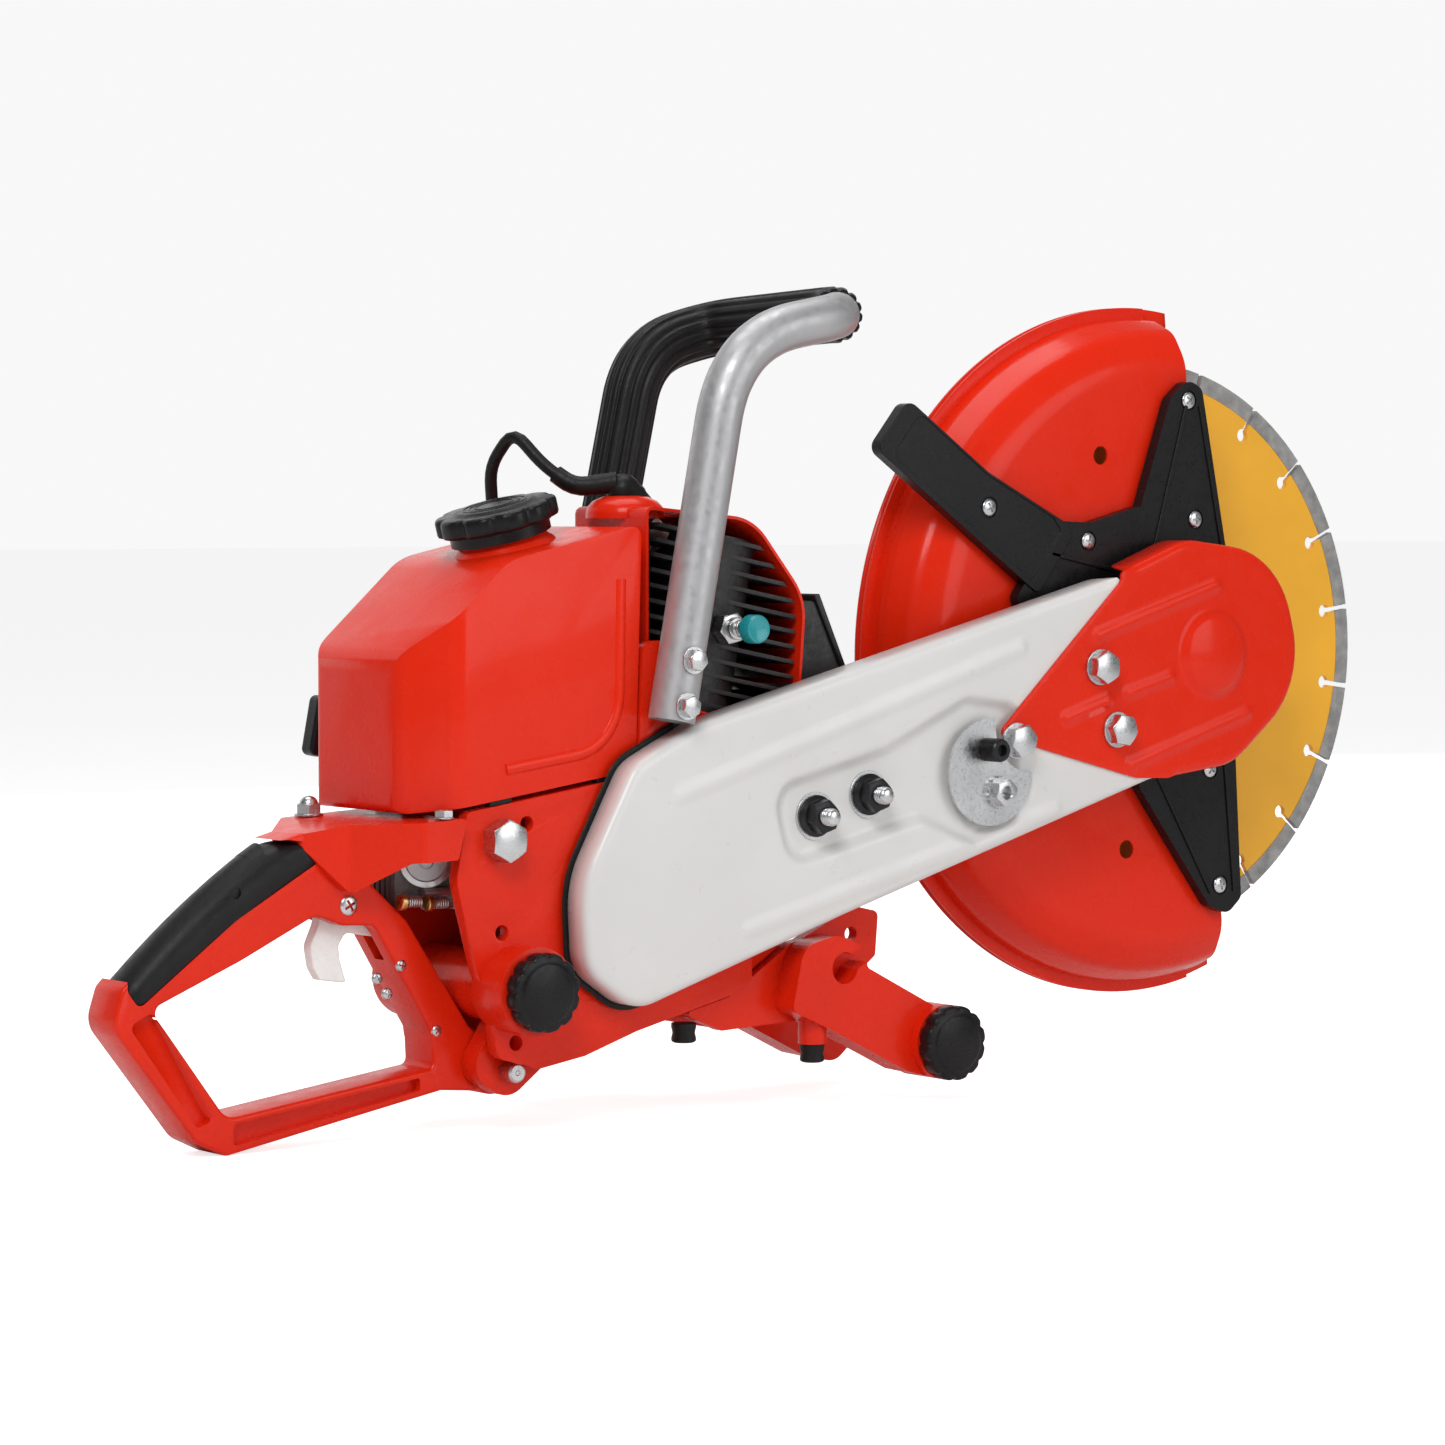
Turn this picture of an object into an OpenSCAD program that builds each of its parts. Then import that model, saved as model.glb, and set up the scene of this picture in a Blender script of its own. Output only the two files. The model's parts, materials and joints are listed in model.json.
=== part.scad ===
// Rescue saw: a petrol cut-off saw with a belt-driven blade on a forward arm.
// Millimetres, +Z up, +X towards the blade, -Y on the belt side of the machine.
// Outlines are drawn as [x, z] pairs seen from the belt side, with the arbor at
// x = 0 and the floor at z = 0. The last section moves the whole saw so that the
// origin sits on the floor, below the middle of its overall box.

/* [Blade] */
// Cutting diameter of the blade
blade_d = 350; // [330:1:352]
// Number of rim segments
segment_count = 22; // [12:1:26]
// Height of a rim segment
segment_h = 10; // [6:1:12]
// Thickness of the steel core
core_t = 3.2; // [2.4:0.1:3.4]
// Diameter of the arbor hole
arbor_d = 20; // [18:0.5:22]

/* [Cutting arm] */
// Height of the arbor above the floor
arbor_z = 252; // [250:1:256]
// Rise of the arm towards the blade, in degrees
arm_rise = 15.8; // [15.5:0.1:16]
// Diameter of the driven pulley at the arbor
driven_pulley_d = 84; // [76:1:86]
// Diameter of the drum pulley on the clutch
drum_pulley_d = 76; // [74:1:78]
// Width across flats of the arm bolts
arm_bolt_af = 17; // [15:0.5:18]

/* [Blade guard] */
// Radius of the near half of the guard
guard_r = 199; // [190:1:200]
// Radius of the flange where the two halves meet
guard_flange_r = 208; // [204:1:208]
// Thickness of the guard sheet
guard_t = 1.6; // [1.2:0.1:2]

/* [Front handle] */
// Outside diameter of the front handle tube
tube_d = 26; // [22:0.5:27]
// Outside diameter of the grip on the tube
tube_grip_d = 32; // [30:0.5:34]

/* [Rear handle] */
// Thickness of the rear handle
rear_handle_t = 28; // [24:1:30]

/* [Engine] */
// Bore of the cylinder
bore_d = 58; // [56:0.5:58]
// Forward tilt of the cylinder, in degrees
cylinder_tilt = 11; // [10:0.5:12]
// Distance between two cooling fins
fin_pitch = 8.4; // [7.6:0.1:9]
// Thickness of a cooling fin
fin_t = 2.2; // [1.8:0.1:2.6]
// Diameter of the star caps
star_cap_d = 43; // [40:0.5:44]

/* [Tank] */
// Wall thickness of the tank
tank_wall = 2.5; // [2:0.1:3]

/* [Hidden] */
$fn = 48;
slack = 0.05;          // radial clearance of a running fit
gap = 0.2;             // gap between neighbours that don't touch
fine = 96;             // facets of a round that meets a belt

// Arm and belt drive, seen along Y
arm_lo_y = -46;
arm_hi_y = -38;
guard_face_y = -66;
pocket_y = guard_face_y + 5;
cover_face_y = -68;
belt_lo_y = -58;
belt_hi_y = -48;
belt_t = 4.5;
stud_u = [-305.7, -266.4];
stud_v = -2;
arm_bolts_uv = [[-88, 18.7], [-85, -20.5], [-160, -3.6]];
tensioner_uv = [-182, -2];
tensioner_nut_uv = [-180, -28.5];
bearing_d = 42;
bearing_w = 11;
housing_r = 27;

// Engine
crank = [-364, 152];
throw_r = 25;
rod_l = 95;
deck_h = 58;
piston_top = 150;
case_half_w = 46;
wall_t = 8;
stub_r = 10;
cylinder_y = 33;
leg_bolts_xz = [[-390, 231], [-385.5, 256]];
leg_shift = [[0, 0], [18, 14]];
leg_wall_y = [-case_half_w, case_half_w - wall_t];

// Rear part
rear_cap_xz = [-484, 80.4];
front_cap_xz = [-202.1, 34];
handle_pin_xz = [-479.2, 33.9];
trigger_xz = [-570.7, 127.7];
tank_rear_x = -545;
tank_right_y = -45;
tank_left_y = 65;
cap_x = -458;
cap_y = 6;
tank_slope = 15;
wall_holes_xz = [[-477.4, 169.1], [-493.7, 111.1], [-484.8, 51.2]];
lug_hole_xz = [-253.8, 97.1];
mount_hole_r = 4.25;

// Overall box, which places the origin
low_x = -722;
high_x = blade_d / 2;
low_y = -82;
high_y = 104;

// ---------------------------------------------------------------- functions

function unit(v) = v / norm(v);
function wrap(a) = a - 360 * floor((a + 180) / 360);
function ahead(c, i) = c[(i + 1) % len(c)];
function behind(c, i) = c[(i + len(c) - 1) % len(c)];

// One corner [x, y, radius] of an outline, as the points of its arc.
function corner_arc(p, before, after, steps) =
  let (
    u = unit([before.x - p.x, before.y - p.y]),
    v = unit([after.x - p.x, after.y - p.y]),
    half = acos(u * v) / 2,
    centre = [p.x, p.y] + unit(u + v) * p.z / sin(half),
    first = [p.x, p.y] + u * p.z / tan(half) - centre,
    last = [p.x, p.y] + v * p.z / tan(half) - centre,
    from = atan2(first.y, first.x),
    sweep = wrap(atan2(last.y, last.x) - from)
  )
  [for (k = [0 : steps]) centre + p.z * [cos(from + sweep * k / steps), sin(from + sweep * k / steps)]];

// Outline with its corners [x, y, radius] rounded.
function rounded(c, steps = 6) = [
  for (i = [0 : len(c) - 1])
    each c[i].z == 0 ? [[c[i].x, c[i].y]] : corner_arc(c[i], behind(c, i), ahead(c, i), steps)
];

// Anticlockwise outline moved inwards by d, with its corner radii to match.
function inset(c, d) = [
  for (i = [0 : len(c) - 1])
    let (
      p = [c[i].x, c[i].y],
      u = unit([behind(c, i).x, behind(c, i).y] - p),
      v = unit([ahead(c, i).x, ahead(c, i).y] - p),
      turn = cross(v, u) > 0 ? 1 : -1,
      moved = p + unit(u + v) * turn * d / sin(acos(u * v) / 2)
    )
    [moved.x, moved.y, max(c[i].z - turn * d, 0)]
];

// Path through 3D points, each inner corner eased over its own reach.
function eased(points, reach, steps = 6) = concat(
  [points[0]],
  [
    for (i = [1 : len(points) - 2])
      let (
        p = points[i],
        a = p + unit(points[i - 1] - p) * reach[i - 1],
        b = p + unit(points[i + 1] - p) * reach[i - 1]
      )
      for (k = [0 : steps])
        let (t = k / steps)
        a * pow(1 - t, 2) + 2 * p * t * (1 - t) + b * pow(t, 2)
  ],
  [points[len(points) - 1]]
);

function tangent(path, i) =
  unit(path[min(i + 1, len(path) - 1)] - path[max(i - 1, 0)]);

// Ring directions carried along a path with no twist.
function normals(path, side, i = 0) =
  i == len(path) ? [] :
  let (
    t = tangent(path, i),
    n = unit(side - (side * t) * t)
  )
  concat([n], normals(path, n, i + 1));

// ---------------------------------------------------------------- shapes

// Solid of an [x, z] outline between two Y planes.
module flat(y_lo, y_hi) {
  translate([0, y_hi, 0])
    rotate([90, 0, 0])
      linear_extrude(y_hi - y_lo)
        children();
}

module rod_y(p, y_lo, y_hi, r, facets = 48) {
  translate([p.x, y_hi, p.y])
    rotate([90, 0, 0])
      cylinder(h = y_hi - y_lo, r = r, $fn = facets);
}

module ring_y(p, y_lo, y_hi, r_out, r_in) {
  difference() {
    rod_y(p, y_lo, y_hi, r_out);
    rod_y(p, y_lo - 1, y_hi + 1, r_in);
  }
}

// Hexagon along Y, stated by its width across flats.
module hex_y(p, y_lo, y_hi, across) {
  rod_y(p, y_lo, y_hi, across / sqrt(3), 6);
}

// Body turned about Y from a profile of [radius, y] points.
module turned(p, profile) {
  translate([p.x, 0, p.y])
    rotate([90, 0, 0])
      rotate_extrude()
        polygon([for (q = profile) [q.x, -q.y]]);
}

// Rings of points round a path, one after another.
function ring_points(path, r, sides, side) =
  let (ring_normals = normals(path, side))
  [
    for (i = [0 : len(path) - 1])
      let (n = ring_normals[i], b = cross(tangent(path, i), n))
      for (k = [0 : sides - 1])
        path[i] + r * (cos(360 * k / sides) * n + sin(360 * k / sides) * b)
  ];

// Two triangles for each step between neighbouring rings.
function wall_faces(rings, sides, start = 0) = [
  for (i = [0 : rings - 2])
    for (k = [0 : sides - 1])
      let (m = (k + 1) % sides, a = start + i * sides, b = a + sides)
      each [[a + k, b + m, a + m], [a + k, b + k, b + m]]
];

// Triangles between an outer and an inner ring.
function annulus_faces(outer, inner, sides) = [
  for (k = [0 : sides - 1])
    let (m = (k + 1) % sides)
    each [[outer + k, outer + m, inner + m], [outer + k, inner + m, inner + k]]
];

function turned_over(faces) = [for (f = faces) [f.z, f.y, f.x]];

// Solid round cable along a 3D path.
module sweep(path, r, side = [0, 1, 0], sides = 20) {
  last = (len(path) - 1) * sides;
  faces = concat(
    [[for (k = [0 : sides - 1]) k]],
    wall_faces(len(path), sides),
    [[for (k = [sides - 1 : -1 : 0]) last + k]]
  );
  polyhedron(ring_points(path, r, sides, side), faces, convexity = 6);
}

// Hollow pipe along a 3D path.
module pipe(path, r_out, r_in, side = [0, 1, 0], sides = 20) {
  last = (len(path) - 1) * sides;
  inner = len(path) * sides;
  points = concat(ring_points(path, r_out, sides, side), ring_points(path, r_in, sides, side));
  faces = concat(
    wall_faces(len(path), sides),
    turned_over(wall_faces(len(path), sides, inner)),
    annulus_faces(0, inner, sides),
    turned_over(annulus_faces(last, inner + last, sides))
  );
  polyhedron(points, faces, convexity = 6);
}

// Frame along the cutting arm: origin at the arbor, first axis towards the front.
module arm_frame() {
  translate([0, 0, arbor_z])
    rotate([0, -arm_rise, 0])
      children();
}

// Frame of the cylinder: origin on the crank axis, +Z along the bore.
module bore_frame() {
  translate([crank.x, 0, crank.y])
    rotate([0, cylinder_tilt, 0])
      children();
}

// Point of the cylinder's frame as [x, z], rounded off by r.
function bore_point(x, z, r = 0) = [
  crank.x + x * cos(cylinder_tilt) + z * sin(cylinder_tilt),
  crank.y - x * sin(cylinder_tilt) + z * cos(cylinder_tilt),
  r
];

arbor = [0, arbor_z];

// ---------------------------------------------------------------- blade

segment_gap = 3;
keyhole_r = 4;
keyhole_at = 156;
blade_r = blade_d / 2;
core_r = blade_r - segment_h;

// Slots between the segments, each ending in a round hole.
module blade_slots(y_half) {
  translate([0, 0, arbor_z])
    for (i = [0 : segment_count - 1])
      rotate([0, (i + 0.5) * 360 / segment_count, 0]) {
        translate([keyhole_at, -y_half, -segment_gap / 2])
          cube([blade_r - keyhole_at + 2, 2 * y_half, segment_gap]);
        rod_y([keyhole_at, 0], -y_half, y_half, keyhole_r, 24);
      }
}

module blade_core() {
  color("goldenrod")
    difference() {
      rod_y(arbor, -core_t / 2, core_t / 2, core_r, fine);
      rod_y(arbor, -core_t, core_t, arbor_d / 2 + 0.02);
      blade_slots(core_t);
    }
}

module blade_segments() {
  segment_t = core_t + 0.8;
  color("gray")
    difference() {
      ring_y(arbor, -segment_t / 2, segment_t / 2, blade_r, core_r);
      blade_slots(segment_t);
    }
}

// ---------------------------------------------------------------- arbor

flange_r = 42;
flange_t = 8;
blade_nut_h = 9;

module spindle() {
  color("silver") {
    rod_y(arbor, -66, core_t / 2 + flange_t + blade_nut_h + 3, arbor_d / 2);
    ring_y(arbor, -18, -core_t / 2 - flange_t, 16, arbor_d / 2);
  }
}

module spindle_bearings() {
  color("lightsteelblue")
    for (y = [-44, -31])
      turned(arbor, [
        [arbor_d / 2 + slack, y], [bearing_d / 2, y],
        [bearing_d / 2, y + bearing_w], [18, y + bearing_w],
        [17.5, y + bearing_w - 1], [13.5, y + bearing_w - 1],
        [13, y + bearing_w], [arbor_d / 2 + slack, y + bearing_w]
      ]);
}

module driven_pulley() {
  r = driven_pulley_d / 2;
  color("dimgray")
    turned(arbor, [
      [arbor_d / 2 + 0.02, -61], [15, -61], [16, -56], [r - 6, -56], [r - 5, -60],
      [r + 3, -60], [r + 3, belt_lo_y - 0.5], [r, belt_lo_y - 0.5],
      [r, belt_hi_y + 0.5], [r + 3, belt_hi_y + 0.5], [r + 3, -46.4],
      [r - 5, -46.4], [r - 6, -50], [16, -50], [15, -46.4], [arbor_d / 2 + 0.02, -46.4]
    ]);
}

// The two steel washers that clamp the blade.
module flange_washers() {
  color("silver")
    for (side = [-1, 1])
      turned(arbor, [
        [arbor_d / 2 + 0.02, side * core_t / 2], [flange_r, side * core_t / 2],
        [flange_r, side * (core_t / 2 + 3)], [24, side * (core_t / 2 + flange_t)],
        [arbor_d / 2 + 0.02, side * (core_t / 2 + flange_t)]
      ]);
}

module spindle_nuts() {
  color("silver") {
    difference() {
      hex_y(arbor, core_t / 2 + flange_t, core_t / 2 + flange_t + blade_nut_h, 30);
      rod_y(arbor, 0, 40, arbor_d / 2 + 0.02);
    }
    difference() {
      hex_y(arbor, -65.5, -61, 27);
      rod_y(arbor, -70, -50, arbor_d / 2 + 0.02);
    }
  }
}

// ---------------------------------------------------------------- blade guard

guard_tilt = 5.4;
near_cut = 28.8;
far_cut = 50.7;
guard_flange_y = 8;
guard_near_y = -29;
guard_far_y = 33;
shell_holes_xz = [[-54.2, 369.8], [-32.4, 134.5]];
shell_hole_r = 5.5;
guard_screws_xz = [[-147, 339], [-71, 319], [8, 403], [14, 331.8], [27, 181], [35.5, 110.5]];
bracket_lo_y = -36.6;
bracket_hi_y = -29.1;
bracket_bead = 1.2;

// Everything in front of the guard's straight cut edge.
module ahead_of_cut(distance) {
  translate([0, 0, arbor_z])
    rotate([0, -guard_tilt, 0])
      translate([distance, -100, -300])
        cube([400, 200, 600]);
}

module blade_guard() {
  y = guard_near_y;
  color("red")
    difference() {
      turned(arbor, [
        [housing_r + 0.4, y], [60, y], [66, y + 3], [150, y + 3], [158, y],
        [176, y + 2], [190, y + 9], [197, y + 19], [guard_r, y + 30],
        [guard_r, guard_flange_y], [guard_flange_r, guard_flange_y],
        [guard_flange_r, guard_flange_y + guard_t], [guard_r - guard_t, guard_flange_y + guard_t],
        [guard_r - guard_t, y + 30.5], [195.5, y + 20], [188.8, y + 10.4],
        [175.5, y + 3.7], [158.2, y + guard_t], [150.3, y + 3 + guard_t],
        [65.7, y + 3 + guard_t], [59.7, y + guard_t], [housing_r + 0.4, y + guard_t]
      ]);
      ahead_of_cut(near_cut);
      for (p = shell_holes_xz)
        rod_y(p, y - 5, y + 10, shell_hole_r);
      for (p = guard_screws_xz)
        rod_y(p, y - 5, y + 10, 2.6, 24);
    }
}

module guard_back_shell() {
  y = guard_far_y;
  lo = guard_flange_y + guard_t;
  color("red")
    difference() {
      turned(arbor, [
        [24, y], [24, y - guard_t], [160, y - guard_t], [186, y - 8], [guard_r - guard_t, y - 14],
        [guard_r - guard_t, lo], [guard_flange_r, lo], [guard_flange_r, lo + guard_t],
        [guard_r, lo + guard_t], [guard_r, y - 13.6], [187, y - 6.6], [160.4, y]
      ]);
      ahead_of_cut(far_cut);
    }
}

// Three-armed bracket with the lever that swings the guard.
module guard_bracket() {
  upper = [
    [-36, 322, 4], [-6.5, 404, 7], [8, 416, 9], [19, 410, 6],
    [44, 290, 3], [30, 252, 3], [-60, 252, 3]
  ];
  lower = [
    [-30, 252, 3], [44, 252, 3], [53, 102, 5], [42, 92.5, 8], [27, 98, 8],
    [-30, 172, 5]
  ];
  lever = [
    [-128, 284, 6], [-91, 331, 4], [-69, 330, 4], [-30, 340, 4], [0, 300, 3],
    [0, 240, 3], [-60, 240, 3], [-104, 270, 4]
  ];
  handle = [
    [-231.5, 372.5, 6], [-110, 288, 4], [-84, 322, 4], [-91, 331, 3], [-148.5, 359.5, 3],
    [-208, 401, 7]
  ];
  color("black")
    difference() {
      union() {
        flat(bracket_lo_y, bracket_hi_y) {
          polygon(rounded(upper));
          polygon(rounded(lower));
          polygon(rounded(lever));
        }
        flat(bracket_lo_y - bracket_bead, bracket_hi_y)
          polygon(rounded(handle));
        rod_y(arbor, bracket_lo_y, bracket_hi_y, 45);
      }
      rod_y(arbor, -60, 0, housing_r + slack);
      for (p = guard_screws_xz)
        rod_y(p, -60, 0, 2.6, 24);
      for (p = guard_screws_xz)
        rod_y(p, bracket_lo_y - 10, bracket_lo_y + bracket_bead, 6);
    }
}

module guard_screws() {
  color("silver")
    for (p = guard_screws_xz)
      difference() {
        union() {
          rod_y(p, bracket_lo_y - bracket_bead, bracket_lo_y + bracket_bead, 5);
          rod_y(p, bracket_lo_y, guard_near_y + 6, 2.5, 24);
        }
        for (spin = [0, 90])
          translate([p.x, bracket_lo_y - bracket_bead, p.y])
            rotate([0, spin + 45, 0])
              cube([5.2, 2.4, 1.1], center = true);
      }
}

// ---------------------------------------------------------------- cutting arm

module cutting_arm() {
  outline = [
    [-328, -26, 20], [-200, -34, 10], [0, -42, 20], [36, -30, 18],
    [36, 30, 18], [0, 42, 20], [-200, 32, 10], [-328, 24, 20]
  ];
  color("firebrick")
    difference() {
      union() {
        arm_frame()
          flat(arm_lo_y, arm_hi_y)
            polygon(rounded(outline));
        rod_y(arbor, arm_lo_y, -19.5, housing_r);
      }
      rod_y(arbor, -50, -44, 14);
      rod_y(arbor, -44, -10, bearing_d / 2);
      arm_frame() {
        for (u = stud_u)
          for (slide = [-6, 6])
            rod_y([u + slide, stud_v], -50, -30, 5.4);
        for (u = stud_u)
          translate([u - 6, -50, stud_v - 5.4])
            cube([12, 20, 10.8]);
        for (p = arm_bolts_uv)
          rod_y(p, -50, -30, 5.02);
        rod_y(tensioner_uv, -50, -30, 4.02);
      }
    }
}

guard_outline = [
  [-56, 64.3, 0], [-372, 72.2, 30], [-418, 64, 26], [-468, 13, 60],
  [-479, -34, 22], [-453, -66, 26], [-300, -61.4, 40], [-56, -58.2, 0]
];

module belt_guard() {
  lo = guard_face_y;
  t = 2;
  pocket = [
    [-331, 22, 12], [-332, -22, 12], [-236, -26, 12], [-200, -50, 6],
    [-168, -48, 6], [-150, 16, 8], [-188, 27, 10], [-250, 19, 12]
  ];
  upper_rib = [[-394, 35.5, 2.6], [-140, 43, 2.4], [-140, 49, 2.4], [-394, 42, 2.6]];
  lower_rib = [[-370, -50.5, 2.4], [-140, -55, 2.4], [-140, -49, 2.4], [-370, -44.5, 2.4]];
  color("white")
    arm_frame()
      difference() {
        union() {
          flat(lo, arm_lo_y)
            polygon(rounded(guard_outline));
          flat(lo - 1.2, lo) {
            polygon(rounded(upper_rib));
            polygon(rounded(lower_rib));
          }
        }
        difference() {
          flat(lo + t, arm_lo_y + 1)
            polygon(rounded(inset(guard_outline, t)));
          flat(lo, pocket_y + t)
            polygon(rounded(pocket));
        }
        // open front end, where the belt runs into the end cover
        translate([-60, lo + t, -56])
          cube([10, 30, 118]);
        difference() {
          flat(lo - 1, pocket_y)
            polygon(rounded(inset(pocket, t)));
          rod_y(tensioner_uv, lo, pocket_y + 1, 12);
        }
        for (u = stud_u)
          rod_y([u, stud_v], -70, -40, 5.6);
        for (p = arm_bolts_uv)
          rod_y(p, -70, -40, 5.3);
        rod_y(tensioner_uv, -70, -40, 4.3);
      }
}

// Rubber lip between the rear of the belt guard and the crankcase.
module belt_guard_seal() {
  color("black")
    arm_frame()
      difference() {
        flat(arm_lo_y - 5, arm_lo_y - 0.1)
          polygon(rounded(inset(guard_outline, -1.8)));
        flat(-60, -40)
          polygon(rounded(inset(guard_outline, -gap / 2)));
        translate([-340, -70, -100])
          cube([400, 60, 200]);
      }
}

module end_cover() {
  face = [
    [-172, 3.3, 3], [-77, -53, 2], [-53.6, -60.5, 2], [0, -69, 40], [69, -40, 55],
    [69, 42, 55], [0, 71, 40], [-57, 66.5, 2], [-57, 62, 2]
  ];
  skirt = [
    [-52, -60.5, 0], [0, -69, 40], [69, -40, 55], [69, 42, 55], [0, 71, 40],
    [-52, 67, 0]
  ];
  rib_uv = [[-83, 36.5, 96], [-120, -3, 78], [-80, -44, 97]];
  dome_r = 26;
  t = 2;
  color("red")
    difference() {
      union() {
        arm_frame() {
          flat(cover_face_y, cover_face_y + t)
            polygon(rounded(face));
          difference() {
            flat(cover_face_y, arm_lo_y)
              polygon(rounded(skirt));
            flat(cover_face_y + t, arm_lo_y + 1)
              polygon(rounded(inset(skirt, t)));
            translate([-80, -80, -62])
              cube([30, 40, 128]);
          }
          for (r = rib_uv)
            flat(cover_face_y - 1.4, cover_face_y)
              polygon(rounded([
                [r.x, r.y - 3, 2.5], [r.x + r.z, r.y - 3, 2.5],
                [r.x + r.z, r.y + 3, 2.5], [r.x, r.y + 3, 2.5]
              ]));
        }
        turned(arbor, [
          [0, cover_face_y - 6], [9, cover_face_y - 6], [14, cover_face_y - 4.5],
          [22, cover_face_y - 2.4], [dome_r, cover_face_y], [dome_r, cover_face_y + 1],
          [0, cover_face_y + 1]
        ]);
      }
      rod_y(arbor, cover_face_y - 3, cover_face_y + 5, 18);
      arm_frame()
        for (p = arm_bolts_uv)
          rod_y(p, -80, -60, 5.3);
    }
}

// Three hexagon bolts with their washers, which clamp the cover to the arm.
module arm_bolts() {
  washer_y = cover_face_y - 2;
  color("silver")
    arm_frame()
      for (p = arm_bolts_uv) {
        ring_y(p, washer_y, cover_face_y, 10.5, 5.3);
        hex_y(p, washer_y - 7.5, washer_y, arm_bolt_af);
        rod_y(p, washer_y - 0.5, arm_hi_y - 0.5, 5);
      }
}

module arm_studs() {
  color("silver")
    arm_frame()
      for (u = stud_u)
        rod_y([u, stud_v], -80, -26, 5);
}

module stud_nuts() {
  seat_y = pocket_y;
  color("black")
    arm_frame()
      for (u = stud_u)
        difference() {
          union() {
            rod_y([u, stud_v], seat_y - 3, seat_y, 12);
            hex_y([u, stud_v], seat_y - 12, seat_y - 3, arm_bolt_af);
          }
          rod_y([u, stud_v], -90, -40, 5.02);
        }
}

// Half-moon plate and lock nut that tension the belt.
module tensioner_plate() {
  p = tensioner_uv;
  n = tensioner_nut_uv;
  y = guard_face_y;
  color("silver")
    arm_frame()
      difference() {
        union() {
          difference() {
            rod_y([-182, -15.5], y - 2, y, 31, fine);
            rod_y([-146, 1], y - 10, y + 5, 27, fine);
          }
          hex_y(n, y - 10, y - 2, 14);
          rod_y(n, y - 4, y - 2, 9.5);
        }
        rod_y(n, y - 20, y + 5, 4);
        rod_y(p, y - 20, y + 5, 4 + slack);
      }
}

module tensioner_screw() {
  p = tensioner_uv;
  color("black")
    arm_frame()
      difference() {
        union() {
          rod_y(p, -82, guard_face_y - 2, 6.5);
          rod_y(p, -70, arm_hi_y - 0.5, 4);
        }
        hex_y(p, -83, -77, 6);
      }
}

// ---------------------------------------------------------------- belt drive

module drive_belt() {
  axle = [arbor, crank];
  radius = [driven_pulley_d / 2 + 0.15, drum_pulley_d / 2 + 0.15];
  color("dimgray")
    difference() {
      flat(belt_lo_y, belt_hi_y)
        hull()
          for (i = [0, 1])
            translate(axle[i])
              circle(radius[i] + belt_t, $fn = fine);
      flat(belt_lo_y - 1, belt_hi_y + 1)
        hull()
          for (i = [0, 1])
            translate(axle[i])
              circle(radius[i], $fn = fine);
    }
}

module clutch_drum() {
  r = drum_pulley_d / 2;
  color("dimgray")
    turned(crank, [
      [stub_r + slack, -61], [r + 3, -61], [r + 3, belt_lo_y - 0.5],
      [r, belt_lo_y - 0.5], [r, belt_hi_y + 0.5], [r + 3, belt_hi_y + 0.5], [r + 3, -46.4],
      [r - 4, -46.4], [r - 4, -59], [stub_r + slack, -59]
    ]);
}

// Centrifugal clutch: a splined hub with three shoes inside the drum.
module clutch_hub() {
  shoe_r = drum_pulley_d / 2 - 5;
  color("gray") {
    ring_y(crank, -58, -47, 15, stub_r + 0.02);
    difference() {
      ring_y(crank, -57, -48, shoe_r, 15.4);
      translate([crank.x, 0, crank.y])
        for (i = [0 : 2])
          rotate([0, i * 120 + 30, 0])
            translate([0, -60, -1.5])
              cube([shoe_r + 5, 20, 3]);
    }
  }
}

// ---------------------------------------------------------------- crankcase

// Top line of the crankcase, below the tank.
function case_top(x) = 176.3 + 0.148 * (x + 516.5);

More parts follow.
